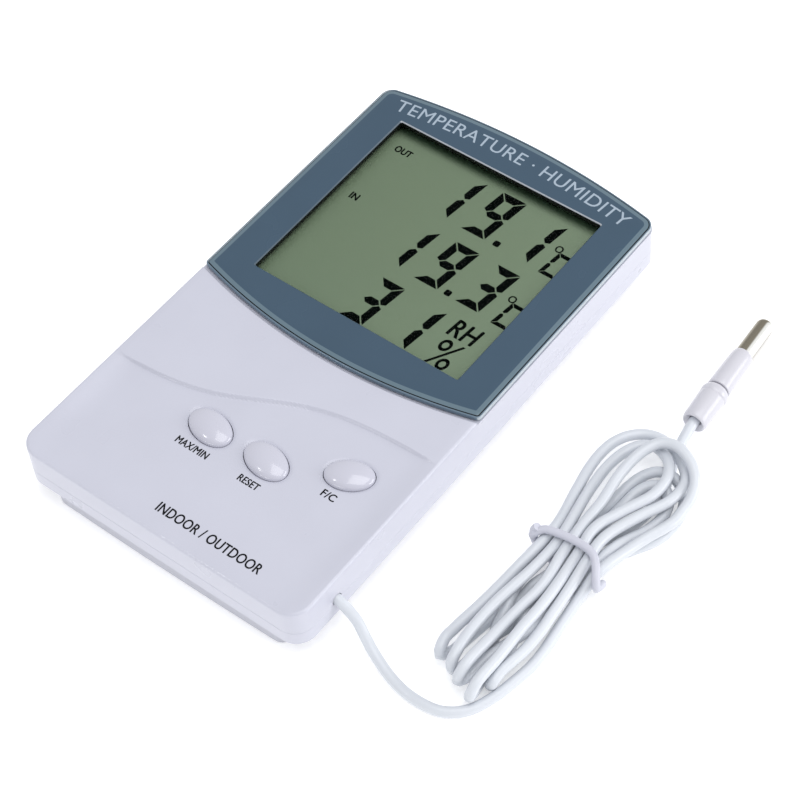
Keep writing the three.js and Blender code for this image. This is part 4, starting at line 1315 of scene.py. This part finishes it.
def settle(path, rounds, held):
    """Pushes the lead's strands apart where they cross, while it keeps its length and its bends.

    It works on points like beads on a string. The first and last `held` points stay in place."""
    rest = path.copy()
    beads = path.copy()
    length = np.linalg.norm(np.diff(rest, axis=0), axis=1)
    clear = 2 * LEAD_RADIUS + 0.1
    number = np.arange(len(beads))
    apart = np.abs(number[:, None] - number[None]) > 3 * clear / LEAD_SPACING
    free = (number >= held) & (number < len(beads) - held)
    bend = np.zeros_like(rest)
    bend[1:-1] = (rest[:-2] + rest[2:]) / 2 - rest[1:-1]
    for turn in range(rounds):
        move = 0.03 * (1 - turn / rounds) * (rest - beads)
        middle = (beads[:-2] + beads[2:]) / 2 - beads[1:-1] - bend[1:-1]
        move[1:-1] += 0.3 * middle
        beads[free] += move[free]
        for first in (0, 1):
            a, b = beads[first:-1:2], beads[first + 1::2]
            span = b - a
            size = np.linalg.norm(span, axis=1, keepdims=True)
            fix = span * (0.5 * (size - length[first::2, None]) / size)
            a += fix * free[first:-1:2, None]
            b -= fix * free[first + 1::2, None]
        gap = beads[:, None] - beads[None]
        distance = np.sqrt((gap**2).sum(2)) + 1e-9
        push = np.where(apart & (distance < clear), (clear - distance) / distance, 0)
        shift = (gap * push[:, :, None]).sum(1) * 0.4
        beads[free] += shift[free]
        beads[free, 2] = np.maximum(beads[free, 2], TABLE)
    return beads


def lead():
    start, direction = probe_axis()
    to_probe = [tuple(start + along * direction) for along in (-1, 5, 12, 20, 30)]
    path = through(from_case() + [in_hank(*place) for place in HANK_TURNS] + to_probe, LEAD_SPACING)
    path = settle(path, 260, 9)
    path = through(path[::2], 1.0)
    path[:, 0] = np.minimum(path[:, 0], bench("probe_lead")[1][0] - LEAD_RADIUS - 0.02)
    path[:, 2] = np.maximum(path[:, 2], LEAD_RADIUS + 0.03)
    made = tube("lead", path, LEAD_RADIUS)
    finish_piece(made, LEAD_VINYL, "case", "probe_lead", slot="lead_vinyl", sharp=60)
    return path


def tie(path):
    """A round twist tie drawn tight about the hank's waist, with its ends crossed on the left."""
    along = path[:, 1] - HANK[1]
    across = path[:, 0] - HANK[0] - HANK_LEAN * along
    waist = np.abs(along) < 2.5
    places = np.column_stack((across[waist], path[waist, 2]))
    angles = np.radians(np.linspace(170, -250, 110))
    normals = np.column_stack((np.cos(angles), np.sin(angles)))
    reach = LEAD_RADIUS + TIE_RADIUS + 0.15
    touching = places[(places @ normals.T).argmax(0)]
    ring = touching + reach * normals
    share = np.linspace(0, 1, len(ring))
    loop = []
    for (a, z), t in zip(ring, share):
        swell = 0.9 * max(0, t - 0.82) / 0.18
        slope = 3.2 - 0.055 * (a + 1) ** 2 if t < 0.42 else -2.4 + 3.4 * (t - 0.5)
        loop.append(in_hank(a - swell * 1.4, slope, max(z + swell, TIE_RADIUS + 0.1)))
    first = np.array(loop[0])
    tail = [tuple(first + (-0.1, 2.7, 0.5)), tuple(first + (-0.2, 1.3, 0.1))]
    smooth_path = through(tail + loop[::6] + [loop[-1]], 0.8)
    smooth_path[:, 2] = np.maximum(smooth_path[:, 2], TIE_RADIUS + 0.03)
    made = tube("twist_tie", smooth_path, TIE_RADIUS, 16)
    finish_piece(made, TIE_VINYL, "case", "cable_tie", slot="lead_vinyl", sharp=60)


def probe():
    start, direction = probe_axis()
    bore = LEAD_RADIUS + 0.25
    sleeves = {
        "probe_rear": ("probe_rear_sleeve", [
            (9.0, bore), (1.0, bore), (0.25, 2.6), (0, 2.95), (0.15, 3.2), (0.6, 3.42), (1.2, 3.55),
            (4, 3.62), (7, 3.72), (9.4, 3.82), (9.75, 3.78), (9.95, 3.68), (10.15, 3.8), (10.5, 3.91),
            (11.1, 3.94), (11.7, 3.86), (12.3, 3.62), (12.75, 3.3), (12.95, 2.95), (12.98, 2.4),
        ]),
        "probe_front": ("probe_front_sleeve", [
            (20.1, bore), (13.3, bore), (13.3, 3.1), (13.45, 3.3), (13.8, 3.38), (16, 3.36), (20, 3.28),
            (24, 3.18), (25.6, 3.12), (26.4, 3.02), (26.95, 2.85), (27.22, 2.66), (27.25, 2.56),
            (27.0, 2.54), (20.1, 2.54),
        ]),
    }
    for name, (node, profile) in sleeves.items():
        made = turned(name, profile, start, direction)
        finish_piece(made, SLEEVE, "case", node, slot="white_gloss", sharp=35)
    tip = 40.6
    round_end = 2.0
    profile = [(20.5, 2.0), (20.5, 2.5), (tip - round_end, 2.5)]
    for turn in np.radians((12, 24, 36, 48, 60, 72, 84)):
        profile.append((tip - round_end + round_end * math.sin(turn), 0.5 + 2.0 * math.cos(turn)))
    profile += [(tip - 0.02, 0.3), (tip - 0.4, 0.3), (tip - 0.6, 1.0), (tip - 2.2, 2.0)]
    made = turned("probe_tip", profile, start, direction)
    finish_piece(made, PROBE_METAL, "case", "probe_cap", slot="probe_metal", sharp=35)


# ---- Materials of the carried-over nodes ----

def dress(material, *nodes):
    for node in nodes:
        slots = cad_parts[node].data.materials
        slots.clear()
        slots.append(material)


# ---- Camera, light and floor ----

# Azimuth, elevation and roll in degrees, and place and distance in metres.
VIEW_ANGLES = (42.63, 52.37, -6.03)
VIEW_AIM = Vector((0.015, 0.002, 0.0))
VIEW_DISTANCE = 0.6437


def camera():
    """The view: from the right of the foot, looking down at the display."""
    data = bpy.data.cameras.new("camera")
    data.lens = 107
    data.sensor_width = 36
    data.clip_end = 20
    made = add_object("camera", data)
    azimuth, elevation, roll = (math.radians(angle) for angle in VIEW_ANGLES)
    back = Vector((
        math.sin(azimuth) * math.cos(elevation),
        -math.cos(azimuth) * math.cos(elevation),
        math.sin(elevation),
    ))
    turn = back.to_track_quat("Z", "Y").to_matrix().to_4x4() @ Matrix.Rotation(roll, 4, "Z")
    made.matrix_world = Matrix.Translation(VIEW_AIM + back * VIEW_DISTANCE) @ turn
    bpy.context.scene.camera = made


# Place and size in metres, and power in watts. Each light aims at the origin.
LIGHTS = {
    "side_light": ((1.1, 0.55, 0.35), (0.9, 0.5), 5.8),
    "top_light": ((0.3, 0.1, 1.15), (1.0, 1.0), 6.2),
    "left_light": ((-0.46, -0.5, 0.87), (0.12, 0.12), 0.6),
    "foot_light": ((-0.1, -1.1, 0.2), (0.6, 0.16), 0.9),
}
ROOM_COLOUR = (0.975, 0.985, 1.0, 1)
ROOM_LIGHT = 0.72


def softbox(name, place, size, power):
    data = bpy.data.lights.new(name, "AREA")
    data.shape = "RECTANGLE"
    data.size, data.size_y = size
    data.energy = power
    turn = (-Vector(place)).to_track_quat("-Z", "Y").to_matrix().to_4x4()
    add_object(name, data).matrix_world = Matrix.Translation(place) @ turn


def studio():
    world = bpy.data.worlds.new("studio")
    world.use_nodes = True
    background = world.node_tree.nodes["Background"].inputs
    background["Color"].default_value = ROOM_COLOUR
    background["Strength"].default_value = ROOM_LIGHT
    bpy.context.scene.world = world
    for name, light in LIGHTS.items():
        softbox(name, *light)
    bpy.context.scene.view_settings.view_transform = "Standard"


FLOOR_GLOW = 0.28


def hide_from_below(obj):
    """Leaves an object out of the picture while the camera is under the floor."""
    driver = obj.driver_add("hide_render").driver
    height = driver.variables.new()
    height.name = "height"
    height.type = "TRANSFORMS"
    height.targets[0].id = bpy.context.scene.camera
    height.targets[0].transform_type = "LOC_Z"
    driver.expression = "height < 0"


def floor():
    builder = Builder()
    ring = round_rect(-3000, 3000, -3000, 3000, 400)
    builder.prism([(ring, -4), (ring, -0.01)])
    made = builder.add("floor")
    white = moulded("floor_white", (251, 251, 251), 0.9, spread=0.002, grain=0.0, specular=0.0)
    glow = white.node_tree.nodes["Principled BSDF"].inputs
    glow["Emission Color"].default_value = (1, 1, 1, 1)
    glow["Emission Strength"].default_value = FLOOR_GLOW
    made.data.materials.append(white)
    hide_from_below(made)


front_cover()
display_bezel()
lcd_figures()
lettering()
for control in ("max_min", "reset", "unit"):
    key(control)
    switch_dome(control)
rear_cover()
stand()
battery_door()
dress(CLEAR, "window_pane")
dress(LCD_GLASS, "lcd_panel")
dress(WHITE_SATIN, "lcd_frame", "humidity_sensor")
dress(DARK_RUBBER, "elastomer_strip_lower", "elastomer_strip_upper")
dress(CELL_JACKET, "battery")
dress(SPRING_STEEL, "positive_contact", "negative_contact", "battery_spring")
dress(WIRE_RED, "positive_wire", "lead_wire_1")
dress(WIRE_BLACK, "negative_wire", "lead_wire_2")
dress(BOARD_GREEN, "circuit_board")
dress(BLACK_EPOXY, "controller_blob", "indoor_thermistor", "probe_thermistor")
dress(SCREW_STEEL, "crystal_can", *[f"{kind}_screw_{number}" for kind in BOSSES for number in SCREWS])
dress(LEAD_VINYL, "lead_collar")
tie(lead())
probe()
camera()
studio()
floor()
